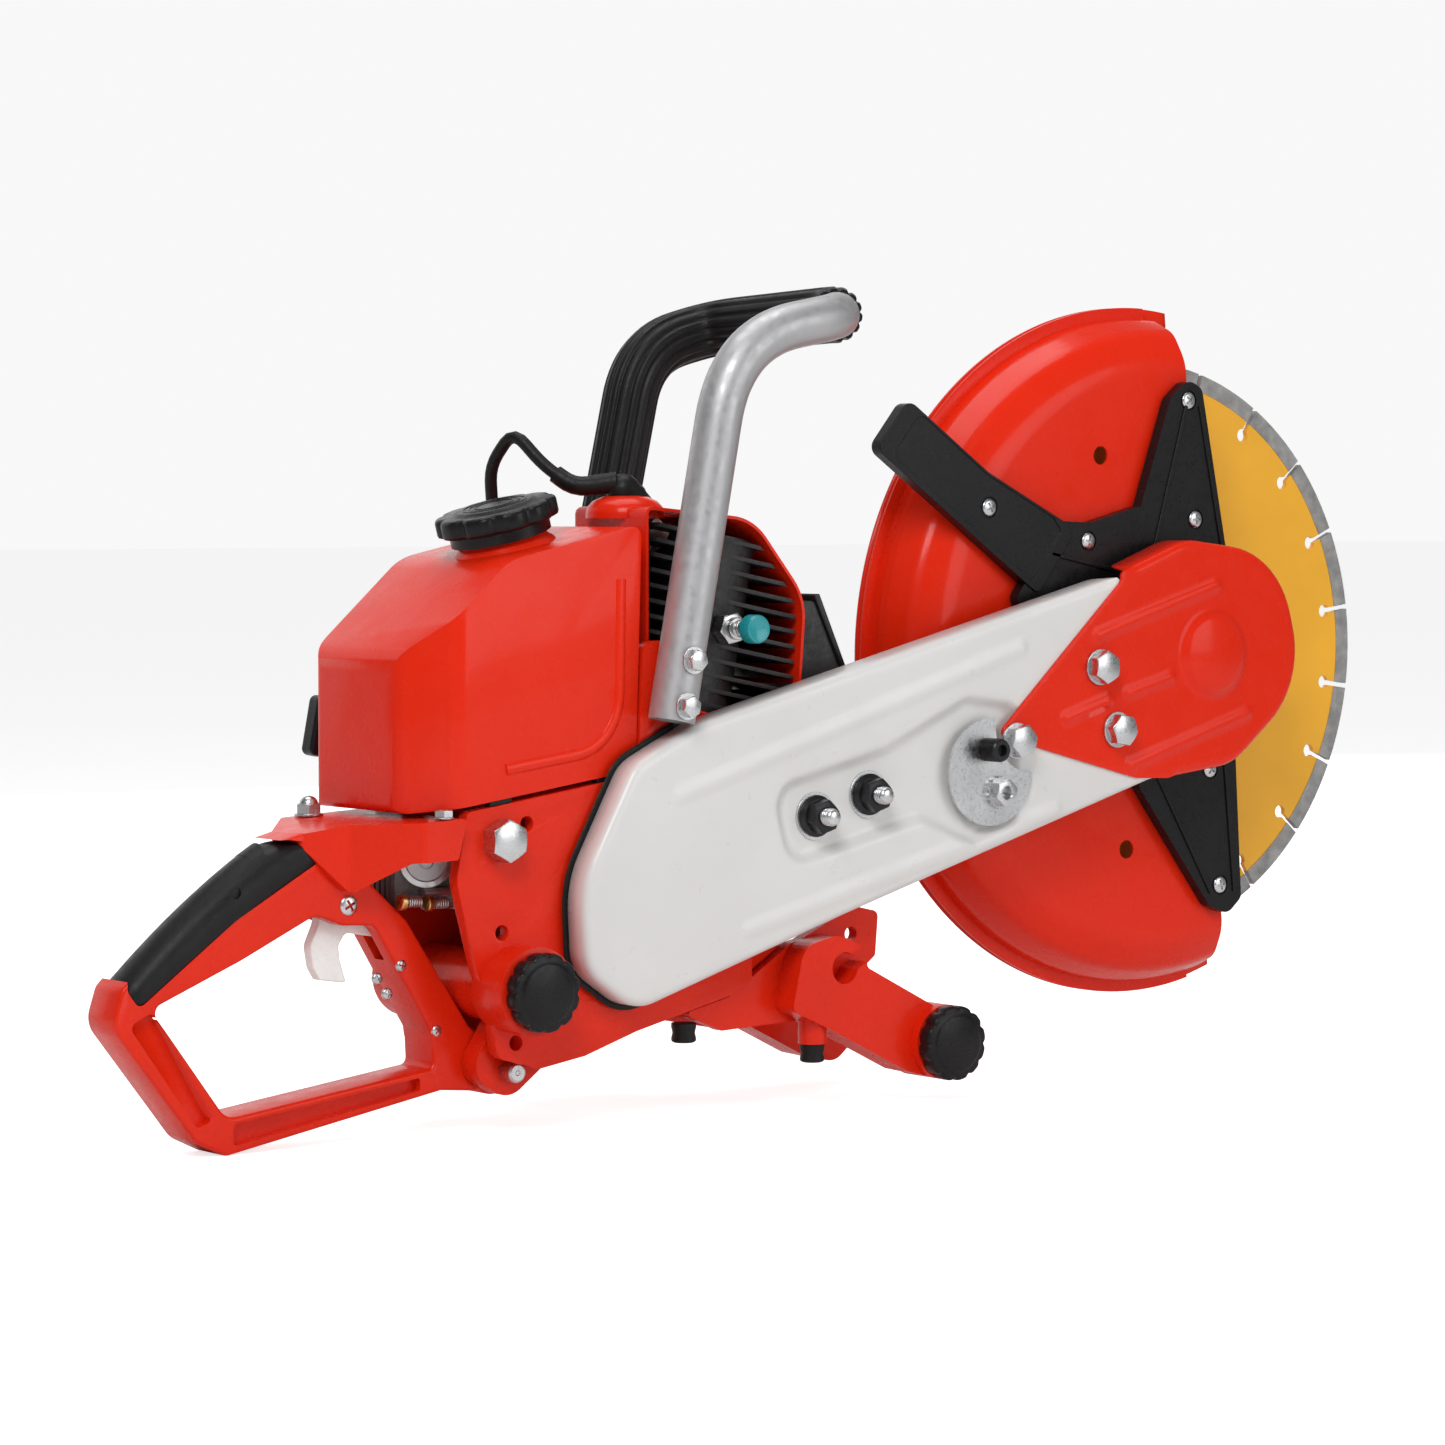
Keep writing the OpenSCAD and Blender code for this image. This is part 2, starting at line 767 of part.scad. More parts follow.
module crankcase() {
  wall = [
    [-515.5, case_top(-515.5), 3], [-522.5, 140, 20], [-510, 92, 12], [-500, 68, 8],
    [-497, 44, 8], [-470, 36, 6], [-439.6, 41, 4], [-404.9, 52.2, 0], [-404.9, case_top(-404.9), 0]
  ];
  block = [
    [-456, 43, 0], [-439.6, 41, 4], [-404.9, 52.2, 4], [-340, 68, 6], [-296, 96, 8],
    [-292, 150, 8], [-300, 170, 10], bore_point(36, deck_h), bore_point(-36, deck_h),
    [-402, 205, 6], [-404.9, case_top(-404.9), 0], [-456, case_top(-456), 0]
  ];
  pad = [[-345, 140, 6], [-240, 162, 12], [-238, 196, 12], [-345, 190, 6]];
  ear = [[-404, 186, 0], [-362, 186, 0], [-362, 214, 0], [-368, 266, 8], [-400, 266, 8]];
  handle_ear = [[-505, 34, 13], [-479, 18, 14], [-455, 36, 8], [-450, 62, 4], [-484, 66, 4]];
  color("red")
    difference() {
      union() {
        for (y = [-case_half_w, case_half_w - wall_t])
          flat(y, y + wall_t)
            polygon(rounded(wall));
        flat(-case_half_w, case_half_w)
          difference() {
            polygon(rounded(block));
            translate([-326, 0])
              square([200, 300]);
          }
        flat(arm_hi_y, case_half_w)
          polygon(rounded(block));
        flat(arm_hi_y, arm_hi_y + 14)
          polygon(rounded(pad));
        for (leg = [0, 1])
          flat(leg_wall_y[leg], leg_wall_y[leg] + wall_t)
            translate(leg_shift[leg])
              polygon(rounded(ear));
        rod_y(rear_cap_xz, -66, -38, 24);
        rod_y(rear_cap_xz, -40, 40, 19);
        rod_y(rear_cap_xz, 38, 62, 24);
        for (y = [-30, 16])
          flat(y, y + 14)
            polygon(rounded(handle_ear));
      }
      // crank chamber, open to the cylinder
      rod_y(crank, -22, 22, 50);
      bore_frame()
        translate([-30, -22, 0])
          cube([60, 44, deck_h + 5]);
      for (side = [-1, 1]) {
        rod_y(crank, side * 28 - 6, side * 28 + 6, 20);
        rod_y(crank, side * 40 - 10, side * 40 + 10, 12);
      }
      // bores of the rear cross tube
      rod_y(rear_cap_xz, -80, -42, 15);
      rod_y(rear_cap_xz, 40, 80, 15);
      // intake duct into the crank chamber
      translate([-470, 0, 141])
        rotate([0, 90, 0])
          cylinder(h = 70, r = 13);
      for (p = wall_holes_xz)
        rod_y(p, -60, -20, mount_hole_r);
      rod_y(handle_pin_xz, -60, 60, 5.52);
      arm_frame()
        for (u = stud_u)
          rod_y([u, stud_v], -60, -26, 5.02);
      for (leg = [0, 1])
        for (p = leg_bolts_xz)
          rod_y(p + leg_shift[leg], leg_wall_y[leg] - 1, leg_wall_y[leg] + wall_t + 1, 3.05, 24);
      rod_y([-495, 161], -60, -20, 6.02);
    }
}

module crank_stubs() {
  color("silver") {
    rod_y(crank, -62.5, -20.4, stub_r);
    rod_y(crank, 20.4, 84, stub_r);
  }
}

module crank_throw() {
  counterweight = [
    [-40, -30, 12], [40, -30, 12], [36, 8, 10], [16, 36, 14], [-16, 36, 14], [-36, 8, 10]
  ];
  color("silver")
    bore_frame() {
      for (side = [-1, 1])
        flat(side * 14.5 - 5.5, side * 14.5 + 5.5)
          polygon(rounded(counterweight));
      rod_y([0, throw_r], -9, 9, 8);
    }
}

module main_bearings() {
  color("lightsteelblue")
    for (y = [-34, 23])
      turned(crank, [
        [stub_r + slack, y], [19.98, y], [19.98, y + bearing_w], [17, y + bearing_w],
        [16.5, y + bearing_w - 1], [13.5, y + bearing_w - 1], [13, y + bearing_w],
        [stub_r + slack, y + bearing_w]
      ]);
}

module connecting_rod() {
  low = throw_r + 8;
  high = throw_r + rod_l - 5;
  shank = [[-7, low, 0], [7, low, 0], [5, high, 0], [-5, high, 0]];
  color("lightsteelblue")
    bore_frame()
      difference() {
        union() {
          rod_y([0, throw_r], -7, 7, 14);
          rod_y([0, throw_r + rod_l], -7, 7, 10);
          flat(-4, 4)
            polygon(rounded(shank));
        }
        rod_y([0, throw_r], -10, 10, 8 + slack);
        rod_y([0, throw_r + rod_l], -10, 10, 6 + slack);
      }
}

piston_r = bore_d / 2 - 0.08;
ring_z = [piston_top - 8, piston_top - 13];
ring_h = 1.6;

module piston() {
  pin_z = throw_r + rod_l;
  color("silver")
    bore_frame() {
      difference() {
        translate([0, 0, pin_z - 16])
          cylinder(h = piston_top - pin_z + 16, r = piston_r);
        translate([0, 0, pin_z - 20])
          cylinder(h = piston_top - pin_z + 6, r = piston_r - 4);
        for (z = ring_z)
          translate([0, 0, z - slack])
            difference() {
              cylinder(h = ring_h + 2 * slack, r = piston_r + 2);
              translate([0, 0, -1])
                cylinder(h = ring_h + 3, r = piston_r - 2);
            }
        rod_y([0, pin_z], -40, 40, 6.02);
      }
      rod_y([0, pin_z], -24, 24, 6);
    }
}

module piston_rings() {
  color("gray")
    bore_frame()
      for (z = ring_z)
        translate([0, 0, z])
          difference() {
            cylinder(h = ring_h, r = bore_d / 2 - 0.02);
            translate([0, 0, -1])
              cylinder(h = ring_h + 2, r = piston_r - 1.9);
          }
}

// ---------------------------------------------------------------- cylinder

shroud_outline = [
  [-399, 236, 0], [-285, 236, 4], [-281, 288, 34], [-318, 333, 34], [-399, 340, 4]
];
shroud_t = 2;
plug_tilt = 56;
fins_lo = 78;
fins_hi = 172;
exhaust_z = 222;
valve_xz = [4.6, 123.1];

module plug_frame() {
  bore_frame()
    translate([0, 0, piston_top + 3])
      rotate([0, -plug_tilt, 0])
        children();
}

// Finned barrel, trimmed to the inside of the shroud.
module cylinder_barrel() {
  intersection() {
    bore_frame() {
      for (z = [fins_lo : fin_pitch : fins_hi])
        translate([-50, -cylinder_y, z])
          cube([118, 2 * cylinder_y, fin_t]);
      translate([0, 0, deck_h + 4])
        rotate_extrude()
          square([bore_d / 2 + 4, 112]);
    }
    flat(-cylinder_y, cylinder_y)
      polygon(rounded([
        [-397, 190, 0], [-291, 190, 4], [-285, 286, 30], [-319, 328, 30], [-397, 334, 4]
      ]));
  }
}

module engine_cylinder() {
  color("dimgray")
    difference() {
      union() {
        cylinder_barrel();
        bore_frame()
          translate([0, 0, deck_h + slack])
            linear_extrude(8)
              square([70, 62], center = true);
        translate([-340, 0, exhaust_z])
          rotate([0, 90, 0])
            rotate_extrude()
              square([14, 66.8]);
      }
      bore_frame()
        translate([0, 0, deck_h - 1])
          rotate_extrude()
            square([bore_d / 2, piston_top + 2 - deck_h]);
      translate([-335, 0, exhaust_z])
        rotate([0, 90, 0])
          rotate_extrude()
            square([11, 80]);
      plug_frame() {
        rotate_extrude()
          square([7.02, 60]);
        translate([0, 0, 16])
          rotate_extrude()
            square([15, 60]);
      }
      bore_frame()
        rod_y(valve_xz, -60, -20, 5.02);
    }
}

// Painted sheet over the top and front of the cylinder.
module cylinder_shroud() {
  color("red")
    difference() {
      union() {
        difference() {
          flat(-cylinder_y - 4, cylinder_y + shroud_t)
            polygon(rounded(shroud_outline));
          flat(-cylinder_y - 5, cylinder_y)
            polygon(rounded(inset(shroud_outline, shroud_t)));
          translate([-420, -60, 200])
            cube([23, 120, 200]);
          translate([-420, -60, 200])
            cube([160, 120, 38.5]);
        }
        // dome round the plug
        translate([-384, 0, 330])
          rotate_extrude()
            polygon([[0, 6], [0, 16], [12, 15], [22, 10], [26, 5], [26, 3]]);
      }
      plug_frame()
        translate([0, 0, 16])
          rotate_extrude()
            square([15.5, 70]);
    }
}

module spark_plug() {
  color("white")
    plug_frame() {
      translate([0, 0, 5.5])
        rotate_extrude()
          square([7, 13.5]);
      translate([0, 0, 18.5])
        rotate_extrude()
          polygon([[0, 0], [10, 0], [10, 8], [6, 10], [5, 26], [2.5, 28], [2.5, 34], [0, 34]]);
    }
}

// Rubber boot on the plug and the lead that runs round the tank to the coil.
module plug_lead() {
  start = [-385.5, 0, 353];
  path = eased(
    [start, [-404, 15, 350], [-415, 30, 363], [-424, 46, 382], [-429, 62, 362],
     [-420, 71, 320], [-412, 72, 236], [-403.5, 70, 220.1]],
    [8, 8, 10, 10, 20, 8], 5);
  color("black") {
    plug_frame()
      translate([0, 0, 54])
        rotate_extrude()
          polygon([[0, -1], [8, -1], [8, 12], [5, 17], [0, 17]]);
    sweep(path, 3.5, sides = 12);
  }
}

module decompression_valve() {
  color("silver")
    difference() {
      union() {
        bore_frame() {
          rod_y(valve_xz, -34, -29.4, 5);
          hex_y(valve_xz, -44, -34, 14);
          rod_y(valve_xz, -52, -44, 5);
        }
      }
      bore_frame()
        rod_y(valve_xz, -60, -36, 3 + slack);
    }
}

module decompression_button() {
  color("teal")
    bore_frame() {
      rod_y(valve_xz, -58, -42, 3);
      rod_y(valve_xz, -66, -57, 8);
    }
}

// ---------------------------------------------------------------- exhaust

muffler_lo_y = -22;
muffler_hi_y = 40;

module muffler() {
  outline = [[-273, 200, 4], [-228, 200, 6], [-230, 214, 6], [-264, 286, 4], [-273, 286, 2]];
  color("dimgray")
    difference() {
      flat(muffler_lo_y, muffler_hi_y)
        polygon(rounded(outline));
      flat(muffler_lo_y + 2, muffler_hi_y - 2)
        polygon(rounded(inset(outline, 2)));
      translate([-280, 0, exhaust_z])
        rotate([0, 90, 0])
          rotate_extrude()
            square([11, 15]);
      rod_y([-250, 212], muffler_hi_y - 10, muffler_hi_y + 10, 7);
    }
}

module muffler_shield() {
  outline = [[-265.8, 290, 1], [-228, 210, 1], [-225, 210, 1], [-261.5, 290, 1]];
  color("black")
    flat(muffler_lo_y - 2, muffler_hi_y)
      polygon(rounded(outline));
}

// ---------------------------------------------------------------- fuel and air

throat_xz = [-484, 141];
lever_xz = [-484, 128];
carb_rear_x = -505;
carb_front_x = -475;

// Cylinder along X from one x to another.
module rod_x(x_lo, x_hi, y, z, r) {
  translate([x_lo, y, z])
    rotate([0, 90, 0])
      cylinder(h = x_hi - x_lo, r = r);
}

module carburettor() {
  body = [
    [carb_rear_x, 122, 3], [carb_front_x, 122, 3], [carb_front_x, 160, 3], [carb_rear_x, 160, 3]
  ];
  color("silver")
    difference() {
      union() {
        flat(-18, 18)
          polygon(rounded(body));
        rod_y([-492, 143], -24, -18, 14);
        for (z = [125.5, 132])
          rod_x(-524, carb_rear_x, -15, z, 2.6);
      }
      rod_x(-520, -470, 0, throat_xz.y, 11);
      rod_y(lever_xz, -19, -12, 2.5 + slack);
    }
}

module throttle_lever() {
  arm = [[-488, 108, 3], [-481, 108, 3], [-479, 131, 4], [-489, 131, 4]];
  color("silver") {
    flat(-26.5, -24.5)
      polygon(rounded(arm));
    rod_y(lever_xz, -25, -12.5, 2.5);
  }
}

module intake_boot() {
  color("black")
    difference() {
      rod_x(carb_front_x, -456, 0, throat_xz.y, 16);
      rod_x(carb_front_x - 1, -450, 0, throat_xz.y, 12);
    }
}

module air_filter() {
  color("dimgray")
    difference() {
      union() {
        flat(-9, 30)
          polygon(rounded([[-538, 124, 4], [-512, 124, 4], [-512, 160, 4], [-538, 160, 4]]));
        rod_x(-513, carb_rear_x, 0, throat_xz.y, 14);
      }
      rod_x(-525, -500, 0, throat_xz.y, 10);
      for (y = [-5 : 5 : 26])
        translate([-539, y, 129])
          cube([6, 2, 26]);
    }
}

// ---------------------------------------------------------------- starter side

rope_tilt = 11;
rope_y = 92;
reel_r = 32;
rope_r = 2;
starter_r = 78;

module rope_frame() {
  translate([crank.x, 0, crank.y])
    rotate([0, rope_tilt, 0])
      children();
}

module flywheel() {
  blades = 14;
  color("gray")
    union() {
      turned(crank, [
        [stub_r + 0.02, 50], [18, 50], [18, 54], [42, 54], [48, 52], [48, 62], [42, 62],
        [40, 58], [18, 58], [18, 66], [stub_r + 0.02, 66]
      ]);
      translate([crank.x, 0, crank.y])
        for (i = [0 : blades - 1])
          rotate([0, i * 360 / blades, 0])
            translate([22, 57, -1.2])
              cube([20, 8, 2.4]);
    }
}

module ignition_coil() {
  color("black")
    difference() {
      flat(case_half_w, 66)
        polygon(rounded([
          [-380, crank.y + 50, 2], [-348, crank.y + 50, 2],
          [-348, crank.y + 66, 3], [-380, crank.y + 66, 3]
        ]));
      rod_y(crank, 40, 80, 49.2);
    }
}

module starter_housing() {
  slots = 16;
  color("firebrick")
    difference() {
      union() {
        turned(crank, [
          [starter_r - 3, case_half_w], [starter_r, case_half_w], [starter_r, 97], [70, 104],
          [0, 104], [0, 101], [68.6, 101], [starter_r - 3, 95.6]
        ]);
        rod_y(crank, 86, 102, 6);
      }
      translate([crank.x, 0, crank.y])
        for (i = [0 : slots - 1])
          rotate([0, i * 360 / slots, 0])
            translate([26, 98, -2.5])
              cube([34, 10, 5]);
      rope_frame()
        rod_x(-90, -60, rope_y, reel_r + rope_r + gap, 3);
    }
}

module starter_reel() {
  color("white")
    turned(crank, [
      [6 + slack, 87], [36, 87], [36, 89], [reel_r, 89.5], [reel_r, 94.5], [36, 95],
      [36, 97], [6 + slack, 97]
    ]);
}

// Pull grip with the straight length of rope behind it.
module starter_grip() {
  z = reel_r + rope_r + gap;
  near = -160;
  far = near - 15;
  grip = [[far, z - 17, 4], [near - 4, z - 17, 3], [near, z, 8], [near - 4, z + 17, 3], [far, z + 17, 4]];
  color("black")
    rope_frame() {
      flat(rope_y - 6, rope_y + 6)
        polygon(rounded(grip));
      rod_x(near - 6, -4, rope_y, z, rope_r);
    }
}

// ---------------------------------------------------------------- tank

tank_gap = 3;
tank_top_z = 320;
neck_r = 24;
cap_pitch = 4;

module neck_frame() {
  translate([cap_x, cap_y, tank_top_z])
    rotate([0, -tank_slope, 0])
      children();
}

// Solid of the tank moved inwards by d, with its hollow round the starter housing.
module tank_body(d) {
  side = [
    [tank_rear_x, case_top(tank_rear_x) + tank_gap, 6], [-415, case_top(-415) + tank_gap, 5],
    [-404.5, 204, 5], [-400.4, 330, 7], [-487, 311, 22], [tank_rear_x, 259, 16]
  ];
  plan = [
    [tank_rear_x, -20, 9], [-520, tank_right_y, 9], [-395, tank_right_y, 9],
    [-395, tank_left_y, 9], [tank_rear_x, tank_left_y, 10]
  ];
  difference() {
    intersection() {
      flat(tank_right_y - 1, tank_left_y + 1)
        polygon(rounded(inset(side, d)));
      linear_extrude(400)
        polygon(rounded(inset(plan, d)));
    }
    rod_y(crank, case_half_w - 2 - d, tank_left_y + 5, starter_r + 2 + d);
  }
}

module fuel_tank() {
  rib_t = 1;
  color("red")
    difference() {
      union() {
        tank_body(0);
        neck_frame()
          translate([0, 0, -12])
            cylinder(h = 22, r = neck_r);
        flat(tank_right_y - rib_t, tank_right_y + 1) {
          polygon(rounded([[-487, 196, 2], [-430, 204, 4], [-430, 210, 4], [-487, 202, 2]]));
          polygon(rounded([
            [-430, 204, 2], [-414, 224, 4], [-412, 298, 2], [-418, 298, 2], [-420, 226, 4], [-434, 210, 2]
          ]));
        }
      }
      tank_body(tank_wall);
      neck_frame()
        translate([0, 0, -20])
          cylinder(h = 50, r = 16);
    }
}

function star(r, lobes, depth) = [
  for (a = [0 : 360 / lobes / 10 : 359.9])
    (r - depth * pow((1 - cos(a * lobes)) / 2, 2)) * [cos(a), sin(a)]
];

module tank_cap() {
  color("black")
    neck_frame()
      difference() {
        union() {
          translate([0, 0, 9])
            linear_extrude(11)
              polygon(star(34, 10, 3));
          translate([0, 0, 3])
            cylinder(h = 7, r = 28);
          translate([0, 0, 20])
            cylinder(h = 1.5, r = 24);
        }
        translate([0, 0, 2])
          cylinder(h = 10, r = neck_r + slack);
      }
}

module tank_cap_seal() {
  color("black")
    neck_frame()
      translate([0, 0, 10])
        difference() {
          cylinder(h = 2, r = neck_r - 0.5);
          translate([0, 0, -1])
            cylinder(h = 4, r = 16.5);
        }
}

// ---------------------------------------------------------------- rear handle

handle_half = rear_handle_t / 2;

module rear_handle() {
  loop = [
    [-713.5, 72, 14], [-664.2, 8.4, 14], [-646.2, -0.26, 8], [-512, 24.4, 4], [-484, 22, 6],
    [-484, 50, 6], [-494, 58, 2], [-534, 118, 6], [-560, 142, 4], [-560, 168, 0], [-599.7, 167.3, 12],
    [-615, 163.2, 20], [-660.4, 134.9, 40], [-707.5, 91, 9]
  ];
  opening = [
    [-682, 68.7, 10], [-645.6, 19.4, 10], [-517, 37, 4], [-518, 56, 6], [-554, 116, 8],
    [-574, 117, 4], [-590.6, 123.4, 12], [-636, 102, 20], [-690.4, 79.5, 5]
  ];
  deck_side = [
    [-600, 160, 3], [-574, 134.5, 3], [-551, 151, 3], [-525, 152, 2], [-519.5, 174, 2],
    [-546, 172.5, 4], [-572, 171, 6], [-600, 167, 3]
  ];
  deck_plan = [
    [-600, -handle_half, 4], [-575, -22, 6], [-546, -52, 6], [-517, -52, 2],
    [-517, 52, 2], [-572, 52, 6], [-600, handle_half, 4]
  ];
  color("red")
    difference() {
      union() {
        difference() {
          flat(-handle_half, handle_half)
            polygon(rounded(loop));
          flat(-handle_half - 1, handle_half + 1)
            polygon(rounded(opening));
        }
        intersection() {
          flat(-60, 60)
            polygon(rounded(deck_side));
          linear_extrude(300)
            polygon(rounded(deck_plan));
        }
        rod_y(handle_pin_xz, -handle_half, handle_half, 14);
        // plate with two screws on the post
        flat(-handle_half, -handle_half + 4)
          polygon(rounded([[-556, 92, 3], [-530, 98, 0], [-512, 60, 0], [-524, 56, 3], [-547, 74, 4]]));
      }
      // grooves that leave an I section in the bar and the rear leg
      for (side = [-1, 1])
        flat(side * handle_half - 4, side * handle_half + 4) {
          polygon(rounded([[-640, 6, 1.6], [-528, 26, 1.6], [-528, 30, 1.6], [-640, 13, 2]]));
          polygon(rounded([[-703, 71, 3], [-663, 18, 1.8], [-658, 21, 1.8], [-694, 76, 3]]));
        }
      // recess for the soft grip, over a core
      for (side = [-1, 1])
        flat(side * 16 - 7, side * 16 + 7)
          polygon(rounded(grip_outline));
      // hollow of the deck over the air filter and carburettor
      flat(-44, 44)
        polygon([[-548, 140], [-516, 140], [-516, 169], [-548, 167]]);
      // slot of the trigger
      flat(-4.6, 4.6)
        polygon(rounded([[-594, 96, 0], [-538, 96, 0], [-538, 138, 4], [-592, 142, 4]]));
      rod_y(trigger_xz, -40, 40, 3 + slack);
      rod_y(handle_pin_xz, -40, 40, 9);
      translate([-530, -45, 150])
        cylinder(h = 40, r = 2.55);
      translate([-560, 43, 150])
        cylinder(h = 40, r = 3.05);
    }
}

grip_outline = [
  [-697, 81, 4], [-640, 123.6, 40], [-589.5, 152.6, 3], [-591, 161, 3], [-614, 164, 24],
  [-660.4, 135.4, 50], [-705.5, 91.8, 6]
];

module handle_grip() {
  color("black")
    difference() {
      flat(-handle_half - 1.5, handle_half + 1.5)
        polygon(rounded(grip_outline));
      flat(-9, 9)
        polygon(rounded(inset(grip_outline, -1)));
      rod_y([-640, 142], -40, 40, 1.6, 24);
    }
}

module trigger() {
  outline = [
    [-582, 87.5, 2], [-565.4, 85.1, 1], [-569.1, 97.1, 8], [-570.3, 105.2, 4], [-565.9, 112, 4],
    [-546.4, 108.7, 2], [-543.8, 114.5, 2], [-556, 124, 5], [-562, 134, 4], [-571, 136.5, 5],
    [-580, 131, 5], [-583, 117, 6], [-588, 106, 8], [-586, 94, 8]
  ];
  color("whitesmoke")
    difference() {
      flat(-4, 4)
        polygon(rounded(outline));
      rod_y(trigger_xz, -10, 10, 3 + slack, 48);
    }
}

// Bolt through one leg of the front handle, with its head on the +Y side.
module leg_bolt(p) {
  rod_y(p, case_half_w - wall_t, far_y + tube_d / 2 + 1, 3, 24);
  rod_y(p, far_y + tube_d / 2 + 0.4, far_y + tube_d / 2 + 4, 6.5, 24);
}

// Screws, nuts and the pin that join the handles to the machine.
module handle_hardware() {
  color("silver") {
    // trigger screw
    rod_y(trigger_xz, -handle_half - 2.5, -handle_half, 5.5);
    rod_y(trigger_xz, -handle_half, handle_half + 2, 3, 48);
    // lower pivot pin
    rod_y(handle_pin_xz, -40, 34, 5.5);
    // large bolt on the crankcase wall
    hex_y([-495, 161], -58, -case_half_w, 21);
    rod_y([-495, 161], -case_half_w, -30, 6);
    // deck screw and cap nut
    translate([-530, -45, 173.8]) {
      cylinder(h = 4, r = 5);
      translate([0, 0, -16])
        cylinder(h = 17, r = 2.5);
    }
    translate([-560, 43, 172.2]) {
      cylinder(h = 7, r = 7.5, $fn = 6);
      cylinder(h = 11, r = 5);
      translate([0, 0, -16])
        cylinder(h = 17, r = 3);
    }
    // front handle bolts, both legs
    for (leg = [0, 1])
      for (p = leg_bolts_xz)
        mirror([0, 1 - leg, 0])
          leg_bolt(p + leg_shift[leg]);
  }
}

// ---------------------------------------------------------------- front frame

module front_frame() {
  arm = [
    [-308, 58, 4], [-279.7, 45.2, 4], [-225, 18, 6], [-202, 12.5, 12], [-181, 30, 12],
    [-190, 46, 8], [-256, 80, 3], [-252, 89, 2], [-275, 99, 16], [-300, 94, 14]
  ];
  web = [
    [-345, 48, 3], [-300, 50, 4], [-268, 60, 6], [-236, 84, 3], [-234, 109, 4], [-252, 113, 6],
    [-290, 95.8, 0], [-296, 94.5, 0], [-340, 66.5, 0], [-372, 59, 2]
  ];
  color("red")
    difference() {
      union() {
        flat(-60, -38)
          polygon(rounded(arm));
        flat(38, 60)
          polygon(rounded(arm));
        flat(-43, -36)
          polygon(rounded(web));
        flat(-40, 40)
          polygon(rounded([
            [-345, 48, 3], [-290, 50, 3], [-262, 60, 6], [-262, 88, 6], [-290, 94, 2],
            [-298, 92.5, 0], [-340, 65.5, 0]
          ]));
        rod_y(front_cap_xz, -66, -36, 21.4);
        translate([-286, -49, 37.5])
          cylinder(h = 15, r = 8);
      }
      rod_y([-271, 80], -70, -43, 9);
      translate([-271, -70, 74])
        rotate([0, -28, 0])
          cube([30, 27, 10]);
      rod_y(lug_hole_xz, -50, -30, mount_hole_r);
      rod_y(front_cap_xz, -80, -44, 15);
      flat(40, 58)
        polygon(rounded(inset(arm, 3)));
    }
}

module star_cap(p) {
  color("black") {
    translate([p.x, -66.2, p.y])
      rotate([90, 0, 0])
        linear_extrude(10)
          polygon(star(star_cap_d / 2, 12, 1.6));
    rod_y(p, -77.4, -76, star_cap_d / 2 - 4);
    rod_y(p, -66.5, -48, 15 - slack);
  }
}

module rear_star_cap() {
  star_cap(rear_cap_xz);
}

module front_star_cap() {
  star_cap(front_cap_xz);
}

// ---------------------------------------------------------------- front handle

tube_wall = 2.5;
tube_y = case_half_w + gap + tube_d / 2;
far_y = 60;
grip_first = 11;
tube_path = eased(
  [[-391, -tube_y, 222.5], [-350.4, -tube_y, 431.7], [-262, -tube_y, 448.5],
   [-276, far_y, 443], [-328, far_y, 428], [-371, far_y, 236]],
  [46, 32, 24, 28], 6);

function slice(path, first, last) = [for (i = [first : last]) path[i]];

module front_handle_tube() {
  color("silver")
    pipe(tube_path, tube_d / 2, tube_d / 2 - tube_wall);
}

module front_handle_grip() {
  color("black")
    pipe(slice(tube_path, grip_first, len(tube_path) - 2), tube_grip_d / 2, tube_d / 2 + 0.02);
}

// ---------------------------------------------------------------- rubber

// Buffers under the frame, tank pads and the bush of the lower handle pin.
module rubber_mounts() {
  color("black") {
    translate([-366, -36, 42.4])
      cylinder(h = 11, r = 7);
    translate([-286, -49, 27])
      cylinder(h = 10.5, r = 7);
    ring_y(handle_pin_xz, -handle_half, handle_half, 8.98, 5.55);
    for (x = [-500, -430])
      for (y = [-44.5, 38.5])
        flat(y, y + 6)
          polygon([
            [x, case_top(x) + slack], [x + 14, case_top(x + 14) + slack],
            [x + 14, case_top(x + 14) + tank_gap - slack], [x, case_top(x) + tank_gap - slack]
          ]);
  }
}

// ---------------------------------------------------------------- placement

module placed() {
  translate([-(low_x + high_x) / 2, -(low_y + high_y) / 2, 0])
    children();
}

placed() blade_core();
placed() blade_segments();
placed() spindle();
placed() spindle_bearings();
placed() driven_pulley();
placed() flange_washers();
placed() spindle_nuts();
placed() blade_guard();
placed() guard_back_shell();
placed() guard_bracket();
placed() guard_screws();
placed() cutting_arm();
placed() belt_guard();
placed() belt_guard_seal();
placed() end_cover();
placed() arm_bolts();
placed() arm_studs();
placed() stud_nuts();
placed() tensioner_plate();
placed() tensioner_screw();
placed() drive_belt();
placed() clutch_drum();
placed() clutch_hub();
placed() crankcase();
placed() crank_stubs();
placed() crank_throw();
placed() main_bearings();
placed() connecting_rod();
placed() piston();
placed() piston_rings();
placed() engine_cylinder();
placed() cylinder_shroud();
placed() spark_plug();
placed() plug_lead();
placed() decompression_valve();
placed() decompression_button();
placed() muffler();
placed() muffler_shield();
placed() carburettor();
placed() throttle_lever();
placed() intake_boot();
placed() air_filter();
placed() flywheel();
placed() ignition_coil();
placed() starter_housing();
placed() starter_reel();
placed() starter_grip();
placed() fuel_tank();
placed() tank_cap();
placed() tank_cap_seal();
placed() rear_handle();
placed() handle_grip();
placed() trigger();
placed() handle_hardware();
placed() front_frame();
placed() rear_star_cap();
placed() front_star_cap();
placed() front_handle_tube();
placed() front_handle_grip();
placed() rubber_mounts();
